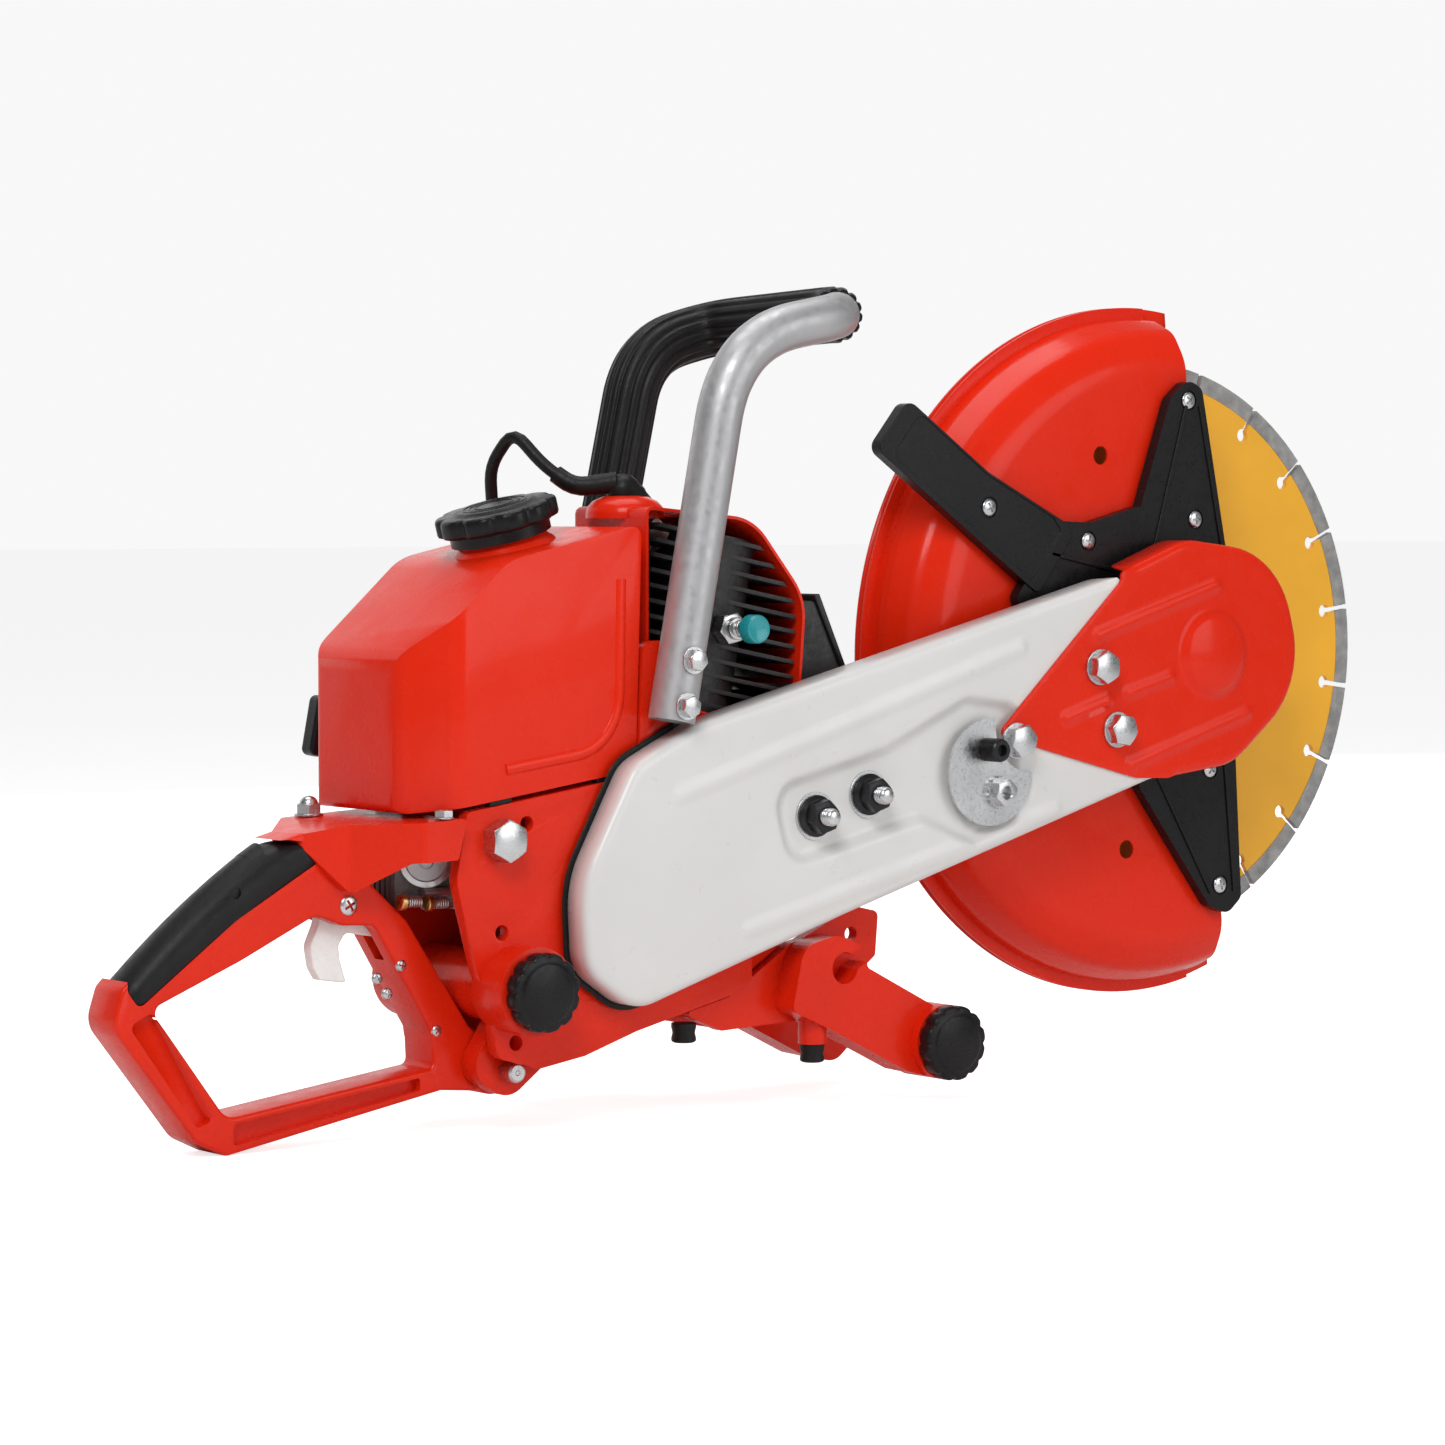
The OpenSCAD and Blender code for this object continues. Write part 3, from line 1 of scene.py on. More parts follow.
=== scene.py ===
"""Looks of the rescue saw: pieces, materials, floor, lights and camera.

Pieces are drawn in millimetres, with the arbor at x = 0, the floor at z = 0 and
the blade at y = 0. at() moves them into the frame, in metres. A shape is drawn
flat, as (a, b, h): a and b lie in its plane and h stands out of it. One of the
placing functions, such as on_arm(), then turns it into (x, y, z).
"""

import json
import math

import bmesh
import bpy
import numpy as np
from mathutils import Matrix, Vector
from mathutils.geometry import delaunay_2d_cdt


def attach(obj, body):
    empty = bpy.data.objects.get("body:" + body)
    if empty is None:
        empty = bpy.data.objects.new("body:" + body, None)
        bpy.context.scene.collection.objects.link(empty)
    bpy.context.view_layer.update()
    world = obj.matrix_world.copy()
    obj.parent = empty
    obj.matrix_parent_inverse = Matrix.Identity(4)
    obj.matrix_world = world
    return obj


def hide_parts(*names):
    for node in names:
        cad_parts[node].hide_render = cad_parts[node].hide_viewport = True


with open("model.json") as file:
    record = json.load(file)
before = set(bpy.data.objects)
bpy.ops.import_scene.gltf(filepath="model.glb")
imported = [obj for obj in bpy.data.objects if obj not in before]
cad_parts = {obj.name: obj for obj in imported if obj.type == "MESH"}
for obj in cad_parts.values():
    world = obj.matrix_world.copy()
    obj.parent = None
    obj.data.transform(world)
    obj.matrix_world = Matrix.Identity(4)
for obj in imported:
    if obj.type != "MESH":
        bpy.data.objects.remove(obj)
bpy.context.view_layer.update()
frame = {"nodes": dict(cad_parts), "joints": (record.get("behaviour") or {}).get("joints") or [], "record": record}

JOINTS = {joint["name"]: joint for joint in frame["joints"]}
ARBOR = np.array(JOINTS["blade_spin"]["pos_m"])
MM = 0.001
ARBOR_Z = 252.0
ARM_RISE = math.radians(15.8)
CYLINDER_TILT = math.radians(11.0)
TANK_SLOPE = math.radians(15.0)
CRANK = (-364.0, 152.0)


# ------------------------------------------------------------------ placing

def at(points):
    """Drawing millimetres to frame metres."""
    shift = ARBOR - np.array([0.0, 0.0, ARBOR_Z * MM])
    return np.asarray(points, float) * MM + shift


def facing_right(x, z, spin=0.0):
    """Plane of the picture, round the point (x, z); h stands towards -Y."""
    c, s = math.cos(spin), math.sin(spin)

    def place(p):
        return np.column_stack([x + c * p[:, 0] - s * p[:, 1], -p[:, 2], z + s * p[:, 0] + c * p[:, 1]])
    return place


def facing_left(x, z, spin=0.0):
    """As facing_right, with h towards +Y."""
    c, s = math.cos(spin), math.sin(spin)

    def place(p):
        return np.column_stack([x - c * p[:, 0] + s * p[:, 1], p[:, 2], z + s * p[:, 0] + c * p[:, 1]])
    return place


def on_arm(u=0.0, v=0.0):
    """Plane of the cutting arm, round its point (u, v)."""
    c, s = math.cos(ARM_RISE), math.sin(ARM_RISE)

    def place(p):
        a, b = p[:, 0] + u, p[:, 1] + v
        return np.column_stack([a * c - b * s, -p[:, 2], ARBOR_Z + a * s + b * c])
    return place


def along(origin, direction, up=(0.0, 1.0, 0.0)):
    """Round any axis: h runs from origin along direction."""
    w = np.array(direction, float) / np.linalg.norm(direction)
    a = np.cross(up, w)
    a /= np.linalg.norm(a)
    b = np.cross(w, a)

    def place(p):
        return np.asarray(origin) + p[:, :1] * a + p[:, 1:2] * b + p[:, 2:3] * w
    return place


def as_drawn(p):
    return p


# ------------------------------------------------------------------ shapes

class Shape:
    """Points in millimetres and the faces between them."""

    def __init__(self, points, faces):
        self.points = np.array(points, float).reshape(-1, 3)
        self.faces = [tuple(int(i) for i in face) for face in faces]

    def __add__(self, other):
        shift = len(self.points)
        faces = self.faces + [tuple(i + shift for i in face) for face in other.faces]
        return Shape(np.vstack([self.points, other.points]), faces)

    def placed(self, place):
        return Shape(place(self.points), self.faces)


def turned_over(shape):
    """The shape with its faces looking the other way."""
    return Shape(shape.points, [tuple(reversed(face)) for face in shape.faces])


def joined(shapes):
    total = shapes[0]
    for shape in shapes[1:]:
        total = total + shape
    return total


def rounded(corners, steps=8):
    """Outline of [a, b, radius] corners with the corners rounded."""
    out = []
    n = len(corners)
    for i, corner in enumerate(corners):
        p = np.array(corner[:2], float)
        radius = corner[2]
        if radius == 0:
            out.append(tuple(p))
            continue
        u = np.array(corners[i - 1][:2], float) - p
        v = np.array(corners[(i + 1) % n][:2], float) - p
        u /= np.linalg.norm(u)
        v /= np.linalg.norm(v)
        half = math.acos(max(-1.0, min(1.0, float(u @ v)))) / 2
        middle = (u + v) / np.linalg.norm(u + v)
        centre = p + middle * radius / math.sin(half)
        first = p + u * radius / math.tan(half) - centre
        last = p + v * radius / math.tan(half) - centre
        start = math.atan2(first[1], first[0])
        turn = (math.atan2(last[1], last[0]) - start + math.pi) % (2 * math.pi) - math.pi
        for k in range(steps + 1):
            angle = start + turn * k / steps
            out.append((centre[0] + radius * math.cos(angle), centre[1] + radius * math.sin(angle)))
    return out


def grid_faces(rows, columns, wrap_rows=False, wrap_columns=False):
    faces = []
    for i in range(rows if wrap_rows else rows - 1):
        for k in range(columns if wrap_columns else columns - 1):
            i2, k2 = (i + 1) % rows, (k + 1) % columns
            faces.append((i * columns + k, i * columns + k2, i2 * columns + k2, i2 * columns + k))
    return faces


def lathe(profile, steps=48, closed=False):
    """Body of revolution about h from (radius, h) pairs."""
    angles = np.linspace(0, 2 * math.pi, steps, endpoint=False)
    points = [(r * math.cos(t), r * math.sin(t), h) for r, h in profile for t in angles]
    return Shape(points, grid_faces(len(profile), steps, closed, True))


def prism(outline, low, high):
    n = len(outline)
    points = [(a, b, low) for a, b in outline] + [(a, b, high) for a, b in outline]
    sides = [(k, (k + 1) % n, n + (k + 1) % n, n + k) for k in range(n)]
    return Shape(points, [tuple(reversed(range(n))), tuple(range(n, 2 * n))] + sides)


def disc(radius, low, high, steps=40, edge=0.0):
    """Solid disc; edge rounds its upper rim."""
    rim = [(radius - edge * (1 - math.cos(t)), high - edge * (1 - math.sin(t)))
           for t in np.linspace(0, math.pi / 2, 5)] if edge else [(radius, high)]
    return lathe([(0, low), (radius, low)] + rim + [(0, high)], steps)


def ring(inner, outer, low, high, steps=40):
    return lathe([(inner, low), (outer, low), (outer, high), (inner, high)], steps, closed=True)


def hexagon(across, low, high, chamfer=True, bore=0.0, steps=48):
    """Nut or bolt head whose corners are turned down in a cone."""
    angles = np.linspace(0, 2 * math.pi, steps, endpoint=False)
    corner = across / math.sqrt(3)
    top_r = 0.47 * across
    wall = [across / 2 / math.cos((t % (math.pi / 3)) - math.pi / 6) for t in angles]
    drop = [(r - top_r) * math.tan(math.radians(28)) if chamfer else 0.0 for r in wall]
    rings = [[(r, low) for r in wall], [(r, high - d) for r, d in zip(wall, drop)],
             [(top_r if chamfer else corner, high)] * steps, [(bore, high)] * steps, [(bore, low)] * steps]
    points = [(r * math.cos(t), r * math.sin(t), h) for row in rings for (r, h), t in zip(row, angles)]
    return Shape(points, grid_faces(len(rings), steps, True, True))


def threaded(radius, low, high, pitch=1.5, steps=32):
    """Rod with a thread cut round it and a chamfered end."""
    profile = [(0, low), (radius, low)]
    h = low
    while h < high - 2 * pitch:
        profile += [(radius, h + 0.1 * pitch), (radius * 0.86, h + 0.5 * pitch), (radius, h + 0.9 * pitch)]
        h += pitch
    profile += [(radius * 0.9, high - 1.0), (radius * 0.62, high), (0, high)]
    return lathe(profile, steps)


def star(radius, lobes, depth, steps=10):
    """Outline with round lobes and small hollows between them."""
    angles = np.linspace(0, 2 * math.pi, lobes * steps, endpoint=False)
    dip = ((1 - np.cos(angles * lobes)) / 2) ** 4
    return [((radius - depth * d) * math.cos(t), (radius - depth * d) * math.sin(t)) for t, d in zip(angles, dip)]


def star_knob(radius, lobes, depth, low, high, crown=1.6, well=0.62):
    """Star cap with rounded rims and a shallow dished face."""
    outline = np.array(star(radius, lobes, depth))
    angles = np.arctan2(outline[:, 1], outline[:, 0])
    circle = radius * np.column_stack([np.cos(angles), np.sin(angles)])
    rows = [(0.0, low, 0), (0.93, low, 1), (0.985, low + 0.8, 1), (1.0, low + 2.0, 1),
            (1.0, high - 2.2, 1), (0.985, high - 1.0, 1), (0.95, high - 0.2, 1), (0.91, high, 0.9),
            (well + 0.06, high, 0), (well, high + crown - 0.4, 0), (well - 0.04, high + crown, 0),
            (0.0, high + crown, 0)]
    points = [(a, b, h) for s, h, lobed in rows
              for a, b in s * (lobed * outline + (1 - lobed) * circle)]
    return Shape(points, grid_faces(len(rows), len(outline), False, True))


def smooth_path(points, reach, steps=12):
    """Straight runs joined by smooth bends."""
    points = [np.array(p, float) for p in points]
    out = [points[0]]
    for i in range(1, len(points) - 1):
        p = points[i]
        a = p + reach[i - 1] * (points[i - 1] - p) / np.linalg.norm(points[i - 1] - p)
        b = p + reach[i - 1] * (points[i + 1] - p) / np.linalg.norm(points[i + 1] - p)
        for t in np.linspace(0, 1, steps + 1):
            out.append(a * (1 - t) ** 2 + 2 * p * t * (1 - t) + b * t ** 2)
    out.append(points[-1])
    return even(out, 4.0)


def even(points, spacing):
    """Path with its points spread evenly."""
    points = np.array(points)
    steps = np.linalg.norm(np.diff(points, axis=0), axis=1)
    length = np.concatenate([[0], np.cumsum(steps)])
    count = max(2, int(length[-1] / spacing) + 1)
    wanted = np.linspace(0, length[-1], count)
    return np.column_stack([np.interp(wanted, length, points[:, k]) for k in range(3)])


def swept(path, section, scale=None, side=(0.0, 1.0, 0.0), inner=0.0):
    """Section (a, b) carried along a path; scale swells it from end to end."""
    path = np.asarray(path, float)
    section = np.asarray(section, float)
    scale = np.ones(len(path)) if scale is None else scale
    n = np.array(side, float)
    rows = []
    for i, p in enumerate(path):
        t = path[min(i + 1, len(path) - 1)] - path[max(i - 1, 0)]
        t /= np.linalg.norm(t)
        n = n - (n @ t) * t
        n /= np.linalg.norm(n)
        b = np.cross(t, n)
        rows.append(p + scale[i] * (section[:, :1] * n + section[:, 1:] * b))
    count = len(section)
    if inner:
        size = np.linalg.norm(section, axis=1)[:, None]
        core = section / size * inner
        for i in range(len(path) - 1, -1, -1):
            t = path[min(i + 1, len(path) - 1)] - path[max(i - 1, 0)]
            t /= np.linalg.norm(t)
            n = n - (n @ t) * t
            n /= np.linalg.norm(n)
            b = np.cross(t, n)
            rows.append(path[i] + core[:, :1] * n + core[:, 1:] * b)
        return Shape(np.vstack(rows), grid_faces(len(rows), count, True, True))
    faces = grid_faces(len(rows), count, False, True)
    last = (len(rows) - 1) * count
    faces += [tuple(reversed(range(count))), tuple(last + k for k in range(count))]
    return Shape(np.vstack(rows), faces)


def round_section(radius, steps=32):
    return [(radius * math.cos(t), radius * math.sin(t)) for t in np.linspace(0, 2 * math.pi, steps, endpoint=False)]


# ------------------------------------------------------------------ pressed sheets

def inside(points, polygon):
    """Which points lie inside a polygon."""
    x, y = points[:, 0], points[:, 1]
    result = np.zeros(len(points), bool)
    for (x1, y1), (x2, y2) in zip(polygon, np.roll(polygon, -1, axis=0)):
        crosses = (y1 > y) != (y2 > y)
        if y1 != y2:
            result ^= crosses & (x < (x2 - x1) * (y - y1) / (y2 - y1) + x1)
    return result


def edge_distance(points, polygon, closed=True):
    """Distance from each point to the nearest edge of a polygon or line."""
    best = np.full(len(points), np.inf)
    ends = np.roll(polygon, -1, axis=0) if closed else polygon[1:]
    for a, b in zip(polygon, ends):
        d = b - a
        t = np.clip(((points - a) @ d) / max(d @ d, 1e-12), 0, 1)
        best = np.minimum(best, np.linalg.norm(points - (a + t[:, None] * d), axis=1))
    return best


def smoothstep(x):
    x = np.clip(x, 0, 1)
    return x * x * (3 - 2 * x)


def bead(points, line, half_width, height):
    """Raised rounded rib along a line of points."""
    d = edge_distance(points, np.array(line, float), closed=False)
    return height * smoothstep((half_width - d) / (0.75 * half_width))


def pressed(outline, base, height, edge, skirt, spacing):
    """Sheet pressed over its rim: the face carries height(), the rim rolls down by edge(),
    and a skirt of skirt() runs down from it. edge and skirt take the rim's points."""
    rim = np.array(outline, float)
    closed = even(np.column_stack([np.vstack([rim, rim[:1]]), np.zeros(len(rim) + 1)]), spacing)
    rim = closed[:-1, :2]
    step = np.roll(rim, -1, axis=0) - np.roll(rim, 1, axis=0)
    inward = np.column_stack([-step[:, 1], step[:, 0]])
    inward /= np.linalg.norm(inward, axis=1)[:, None]
    area = np.sum(rim[:, 0] * np.roll(rim[:, 1], -1) - np.roll(rim[:, 0], -1) * rim[:, 1])
    inward *= math.copysign(1, area)
    roll, depth = edge(rim), skirt(rim)
    n = len(rim)
    rows = [np.column_stack([rim, base - depth])]
    for t in np.linspace(0, math.pi / 2, 6):
        p = rim + inward * (roll * (1 - math.cos(t)))[:, None]
        rows.append(np.column_stack([p, base - roll * (1 - math.sin(t))]))
    inner = rows[-1][:, :2]
    low, high = inner.min(axis=0), inner.max(axis=0)
    a, b = np.meshgrid(np.arange(low[0], high[0], spacing), np.arange(low[1], high[1], spacing))
    a[1::2] += spacing / 2
    cloud = np.column_stack([a.ravel(), b.ravel()])
    cloud = cloud[inside(cloud, inner)]
    cloud = cloud[edge_distance(cloud, inner) > 0.6 * spacing]
    flat = [Vector(p) for p in np.vstack([inner, cloud])]
    ids = list(range(n))
    found, _, faces, source, _, _ = delaunay_2d_cdt(flat, [], [ids], 1, 1e-5)
    top = np.array([tuple(p) for p in found])
    top = np.column_stack([top, base + height(top)])
    rows[-1][:, 2] = base + height(inner)
    points = np.vstack(rows[:-1] + [top])
    shift = n * (len(rows) - 1)
    where = {}
    for new, olds in enumerate(source):
        for old in olds:
            where[old] = new
    sides = []
    for i in range(len(rows) - 1):
        for k in range(n):
            m = (k + 1) % n
            if i + 1 < len(rows) - 1:
                sides.append((i * n + k, i * n + m, (i + 1) * n + m, (i + 1) * n + k))
            else:
                sides.append((i * n + k, i * n + m, shift + where[m], shift + where[k]))
    if area < 0:
        sides = [tuple(reversed(face)) for face in sides]
    return Shape(points, sides + [tuple(shift + i for i in face) for face in faces])


# ------------------------------------------------------------------ pieces

def piece(name, shape, body, material, replaces=(), bevel=0.0, bevel_steps=3,
          wall=0.0, common=None, cutters=(), bores=(), sharp=40.0, crossing=False):
    """Shape to a Blender object that rides on a body. common trims it and cutters cut it
    before its edges are bevelled; bores are cut after. crossing says that parts of the
    shape run through each other."""
    mesh = bpy.data.meshes.new(name)
    mesh.from_pydata(at(shape.points).tolist(), [], shape.faces)
    tidy = bmesh.new()
    tidy.from_mesh(mesh)
    bmesh.ops.remove_doubles(tidy, verts=tidy.verts, dist=1e-6)
    bmesh.ops.dissolve_degenerate(tidy, edges=tidy.edges, dist=1e-7)
    if not wall:
        bmesh.ops.recalc_face_normals(tidy, faces=tidy.faces)
    tidy.to_mesh(mesh)
    tidy.free()
    obj = bpy.data.objects.new(name, mesh)
    bpy.context.scene.collection.objects.link(obj)
    mesh.materials.append(material)
    mesh.shade_smooth()
    if wall:
        solid = obj.modifiers.new("wall", "SOLIDIFY")
        solid.thickness = wall * MM
        solid.offset = -1
        solid.use_even_offset = True
    if common:
        carve(obj, [common], "INTERSECT")
    carve(obj, cutters, crossing=crossing)
    if bevel:
        soften(obj, bevel, bevel_steps)
    if bores:
        carve(obj, bores)
    if not bevel or bores:
        obj.data.set_sharp_from_angle(angle=math.radians(sharp))
    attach(obj, body)
    if replaces:
        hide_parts(*replaces)
    return obj


def carve(obj, tools, operation="DIFFERENCE", crossing=False):
    for tool in tools:
        cut = obj.modifiers.new("cut", "BOOLEAN")
        cut.operation = operation
        cut.solver = "EXACT"
        cut.use_self = crossing
        cut.object = tool
    if tools:
        applied(obj)
    for tool in tools:
        bpy.data.objects.remove(tool)


def soften(obj, width, steps=3, angle=32.0):
    """Rounds every edge sharper than the angle."""
    soft = obj.modifiers.new("bevel", "BEVEL")
    soft.width = width * MM
    soft.segments = steps
    soft.limit_method = "ANGLE"
    soft.angle_limit = math.radians(angle)
    soft.harden_normals = True


def applied(obj):
    """Leaves the object's modifiers in its mesh."""
    depsgraph = bpy.context.evaluated_depsgraph_get()
    baked = bpy.data.meshes.new_from_object(obj.evaluated_get(depsgraph))
    obj.modifiers.clear()
    obj.data = baked


def cutter(shape):
    """Object for a boolean cut."""
    mesh = bpy.data.meshes.new("cutter")
    mesh.from_pydata(at(shape.points).tolist(), [], shape.faces)
    tidy = bmesh.new()
    tidy.from_mesh(mesh)
    bmesh.ops.remove_doubles(tidy, verts=tidy.verts, dist=1e-6)
    bmesh.ops.recalc_face_normals(tidy, faces=tidy.faces)
    tidy.to_mesh(mesh)
    tidy.free()
    obj = bpy.data.objects.new("cutter", mesh)
    bpy.context.scene.collection.objects.link(obj)
    return obj


# ------------------------------------------------------------------ materials

def material(name, colour, rough, metallic=0.0, coat=0.0, mottle=0.06, mottle_size=9.0,
             grain=0.0, grain_size=900.0, smudge=0.25, specular=0.5, brushed=None):
    """Procedural finish: mottled colour, uneven roughness and a grain in the bump."""
    made = bpy.data.materials.new(name)
    made.use_nodes = True
    nodes, links = made.node_tree.nodes, made.node_tree.links
    shader = nodes["Principled BSDF"]
    place = nodes.new("ShaderNodeTexCoord")

    def noise(size, detail, stretch=None):
        texture = nodes.new("ShaderNodeTexNoise")
        texture.inputs["Scale"].default_value = size
        texture.inputs["Detail"].default_value = detail
        source = place.outputs["Object"]
        if stretch:
            mapping = nodes.new("ShaderNodeMapping")
            mapping.inputs["Scale"].default_value = stretch
            links.new(source, mapping.inputs["Vector"])
            source = mapping.outputs["Vector"]
        links.new(source, texture.inputs["Vector"])
        return texture.outputs["Fac"]

    def spread(value, low, high):
        remap = nodes.new("ShaderNodeMapRange")
        remap.inputs["From Min"].default_value = 0.3
        remap.inputs["From Max"].default_value = 0.7
        remap.inputs["To Min"].default_value = low
        remap.inputs["To Max"].default_value = high
        links.new(value, remap.inputs["Value"])
        return remap.outputs["Result"]

    tone = nodes.new("ShaderNodeMix")
    tone.data_type = "RGBA"
    links.new(spread(noise(mottle_size, 3.0), 0.0, 1.0), tone.inputs["Factor"])
    tone.inputs["A"].default_value = (*(c * (1 - mottle) for c in colour), 1.0)
    tone.inputs["B"].default_value = (*(min(1.0, c * (1 + mottle)) for c in colour), 1.0)
    links.new(tone.outputs["Result"], shader.inputs["Base Color"])
    uneven = noise(mottle_size * 7, 4.0, brushed)
    links.new(spread(uneven, rough * (1 - smudge), rough * (1 + smudge)), shader.inputs["Roughness"])
    shader.inputs["Metallic"].default_value = metallic
    shader.inputs["Coat Weight"].default_value = coat
    shader.inputs["Coat Roughness"].default_value = 0.08
    shader.inputs["Specular IOR Level"].default_value = specular
    if grain:
        bump = nodes.new("ShaderNodeBump")
        bump.inputs["Strength"].default_value = grain
        bump.inputs["Distance"].default_value = 0.0004
        links.new(noise(grain_size, 2.0, brushed), bump.inputs["Height"])
        links.new(bump.outputs["Normal"], shader.inputs["Normal"])
    return made


RED = material("red_paint", (0.78, 0.022, 0.004), 0.27, coat=0.14, specular=0.16, mottle=0.03, grain=0.05, grain_size=420.0)
RED_CAST = material("red_cast", (0.74, 0.021, 0.004), 0.30, coat=0.14, specular=0.16, grain=0.22, grain_size=520.0,
                    mottle=0.06, mottle_size=16.0)
WHITE = material("white_shell", (0.72, 0.715, 0.70), 0.36, coat=0.15, mottle=0.025, mottle_size=14.0,
                 grain=0.12, grain_size=800.0)
YELLOW = material("blade_paint", (0.90, 0.44, 0.018), 0.42, coat=0.15, mottle=0.05, mottle_size=22.0,
                  grain=0.16, grain_size=1100.0)
SEGMENT = material("blade_segment", (0.36, 0.355, 0.35), 0.55, metallic=0.75, mottle=0.22, mottle_size=130.0,
                   grain=0.7, grain_size=1500.0)
ZINC = material("zinc", (0.62, 0.63, 0.64), 0.30, metallic=1.0, mottle=0.08, mottle_size=60.0,
                grain=0.10, grain_size=700.0)
STEEL = material("steel", (0.56, 0.56, 0.57), 0.30, metallic=1.0, mottle=0.08, mottle_size=40.0,
                 grain=0.10, grain_size=900.0)
DARK_STEEL = material("dark_steel", (0.16, 0.16, 0.165), 0.42, metallic=0.9, mottle=0.15, mottle_size=40.0,
                      grain=0.2, grain_size=900.0)
BLACK_STEEL = material("black_steel", (0.022, 0.022, 0.024), 0.34, metallic=0.6, mottle=0.2, mottle_size=70.0,
                       grain=0.15, grain_size=900.0)
TUBE = material("satin_tube", (0.46, 0.46, 0.47), 0.46, metallic=0.6, coat=0.05, mottle=0.03,
                mottle_size=30.0, grain=0.10, grain_size=1300.0)
BLACK_PLASTIC = material("black_plastic", (0.008, 0.008, 0.009), 0.32, specular=0.24, mottle=0.18, mottle_size=35.0,
                         grain=0.22, grain_size=1300.0)
GRIP_RUBBER = material("rubber_grip", (0.010, 0.010, 0.011), 0.38, specular=0.22, mottle=0.2, mottle_size=30.0,
                       grain=0.45, grain_size=1500.0)
RUBBER = material("rubber", (0.009, 0.009, 0.009), 0.45, specular=0.25, mottle=0.2, mottle_size=60.0,
                  grain=0.35, grain_size=900.0)
FINS = material("black_fins", (0.030, 0.030, 0.031), 0.48, metallic=0.35, mottle=0.25, mottle_size=45.0,
                grain=0.35, grain_size=700.0)
CAST_ALLOY = material("aluminium", (0.62, 0.62, 0.625), 0.42, metallic=1.0, mottle=0.1, mottle_size=50.0,
                      grain=0.3, grain_size=600.0)
BRASS = material("brass", (0.62, 0.40, 0.14), 0.30, metallic=1.0, mottle=0.12, mottle_size=60.0,
                 grain=0.1, grain_size=900.0)
TEAL = material("teal_plastic", (0.012, 0.30, 0.33), 0.30, coat=0.3, mottle=0.07, mottle_size=80.0,
                grain=0.08, grain_size=900.0)
FELT = material("filter_felt", (0.16, 0.16, 0.155), 0.9, mottle=0.25, mottle_size=120.0,
                grain=0.8, grain_size=1400.0)
CERAMIC = material("ceramic", (0.78, 0.77, 0.74), 0.18, coat=0.4, mottle=0.03, grain=0.04)
CLEAR = material("clear_plastic", (0.83, 0.84, 0.82), 0.28, coat=0.2, mottle=0.04, mottle_size=40.0,
                 grain=0.03, grain_size=700.0)
WHITE_PLASTIC = material("white_plastic", (0.74, 0.74, 0.72), 0.42, mottle=0.04, grain=0.1)
BEARING = material("bearing_steel", (0.66, 0.67, 0.69), 0.2, metallic=1.0, mottle=0.05, grain=0.05)

FINISH_OF_SLOT = {
    "blade_paint": YELLOW, "blade_segment": SEGMENT, "steel": STEEL, "bearing_steel": BEARING,
    "dark_steel": DARK_STEEL, "zinc": ZINC, "black_steel": BLACK_STEEL, "red_paint": RED,
    "red_cast": RED_CAST, "white_shell": WHITE, "black_plastic": BLACK_PLASTIC, "rubber": RUBBER,
    "rubber_grip": GRIP_RUBBER, "aluminium": CAST_ALLOY, "black_fins": FINS, "ceramic": CERAMIC,
    "teal_plastic": TEAL, "filter_felt": FELT, "white_plastic": WHITE_PLASTIC,
    "clear_plastic": CLEAR, "satin_tube": TUBE,
}


def dress_cad(rounding):
    """Procedural finishes on the CAD nodes, and rounded edges on those named in rounding."""
    slots = {row["node"]: row["material_slot"] for row in frame["record"]["subparts"]}
    for name, obj in frame["nodes"].items():
        obj.data.materials.clear()
        obj.data.materials.append(FINISH_OF_SLOT[slots[name]])
        obj.data.shade_smooth()
        if name in rounding:
            weld = obj.modifiers.new("weld", "WELD")
            weld.merge_threshold = 1e-6
            flat = obj.modifiers.new("flat", "DECIMATE")
            flat.decimate_type = "DISSOLVE"
            flat.angle_limit = math.radians(0.6)
            soften(obj, rounding[name], 3, 34.0)
        else:
            obj.data.set_sharp_from_angle(angle=math.radians(28))


# ------------------------------------------------------------------ cutting arm

GUARD_OUTLINE = [(-57, 64.3, 1.5), (-372, 72.2, 30), (-418, 64, 26), (-468, 13, 60),
                 (-479, -34, 22), (-453, -66, 26), (-300, -61.4, 40), (-57, -58.2, 1.5)]
POCKET = [(-331, 22, 14), (-332, -22, 14), (-236, -26, 14), (-204, -51, 10), (-172, -50, 8),
          (-150, 14, 10), (-186, 29, 12), (-250, 19, 14)]
STUDS = [(-305.7, -2.0), (-266.4, -2.0)]
ARM_BOLTS = [(-88.0, 18.7), (-85.0, -20.5), (-160.0, -3.6)]
TENSIONER = (-182.0, -2.0)
TENSIONER_NUT = (-180.0, -28.5)
FACE_H = 66.0
COVER_H = 68.0
POCKET_DEPTH = 5.0


def belt_guard():
    pocket = np.array(rounded(POCKET, 6))

    def height(p):
        d = edge_distance(p, pocket) * np.where(inside(p, pocket), 1, -1)
        h = -POCKET_DEPTH * smoothstep((d + 3.5) / 7.0)
        h += bead(p, [(-394, 38.5), (-140, 46)], 6.0, 1.3)
        h += bead(p, [(-370, -47.5), (-140, -52)], 6.0, 1.3)
        return h

    def open_end(p):
        return smoothstep((p[:, 0] + 64) / 6)

    shape = pressed(rounded(GUARD_OUTLINE, 10), FACE_H, height, lambda p: 5.0 - 4.2 * open_end(p),
                    lambda p: 19.9 - 17.0 * open_end(p), 2.2)
    piece("belt_guard_skin", shape.placed(on_arm()), "machine", WHITE,
          replaces=("belt_guard",), wall=1.4)


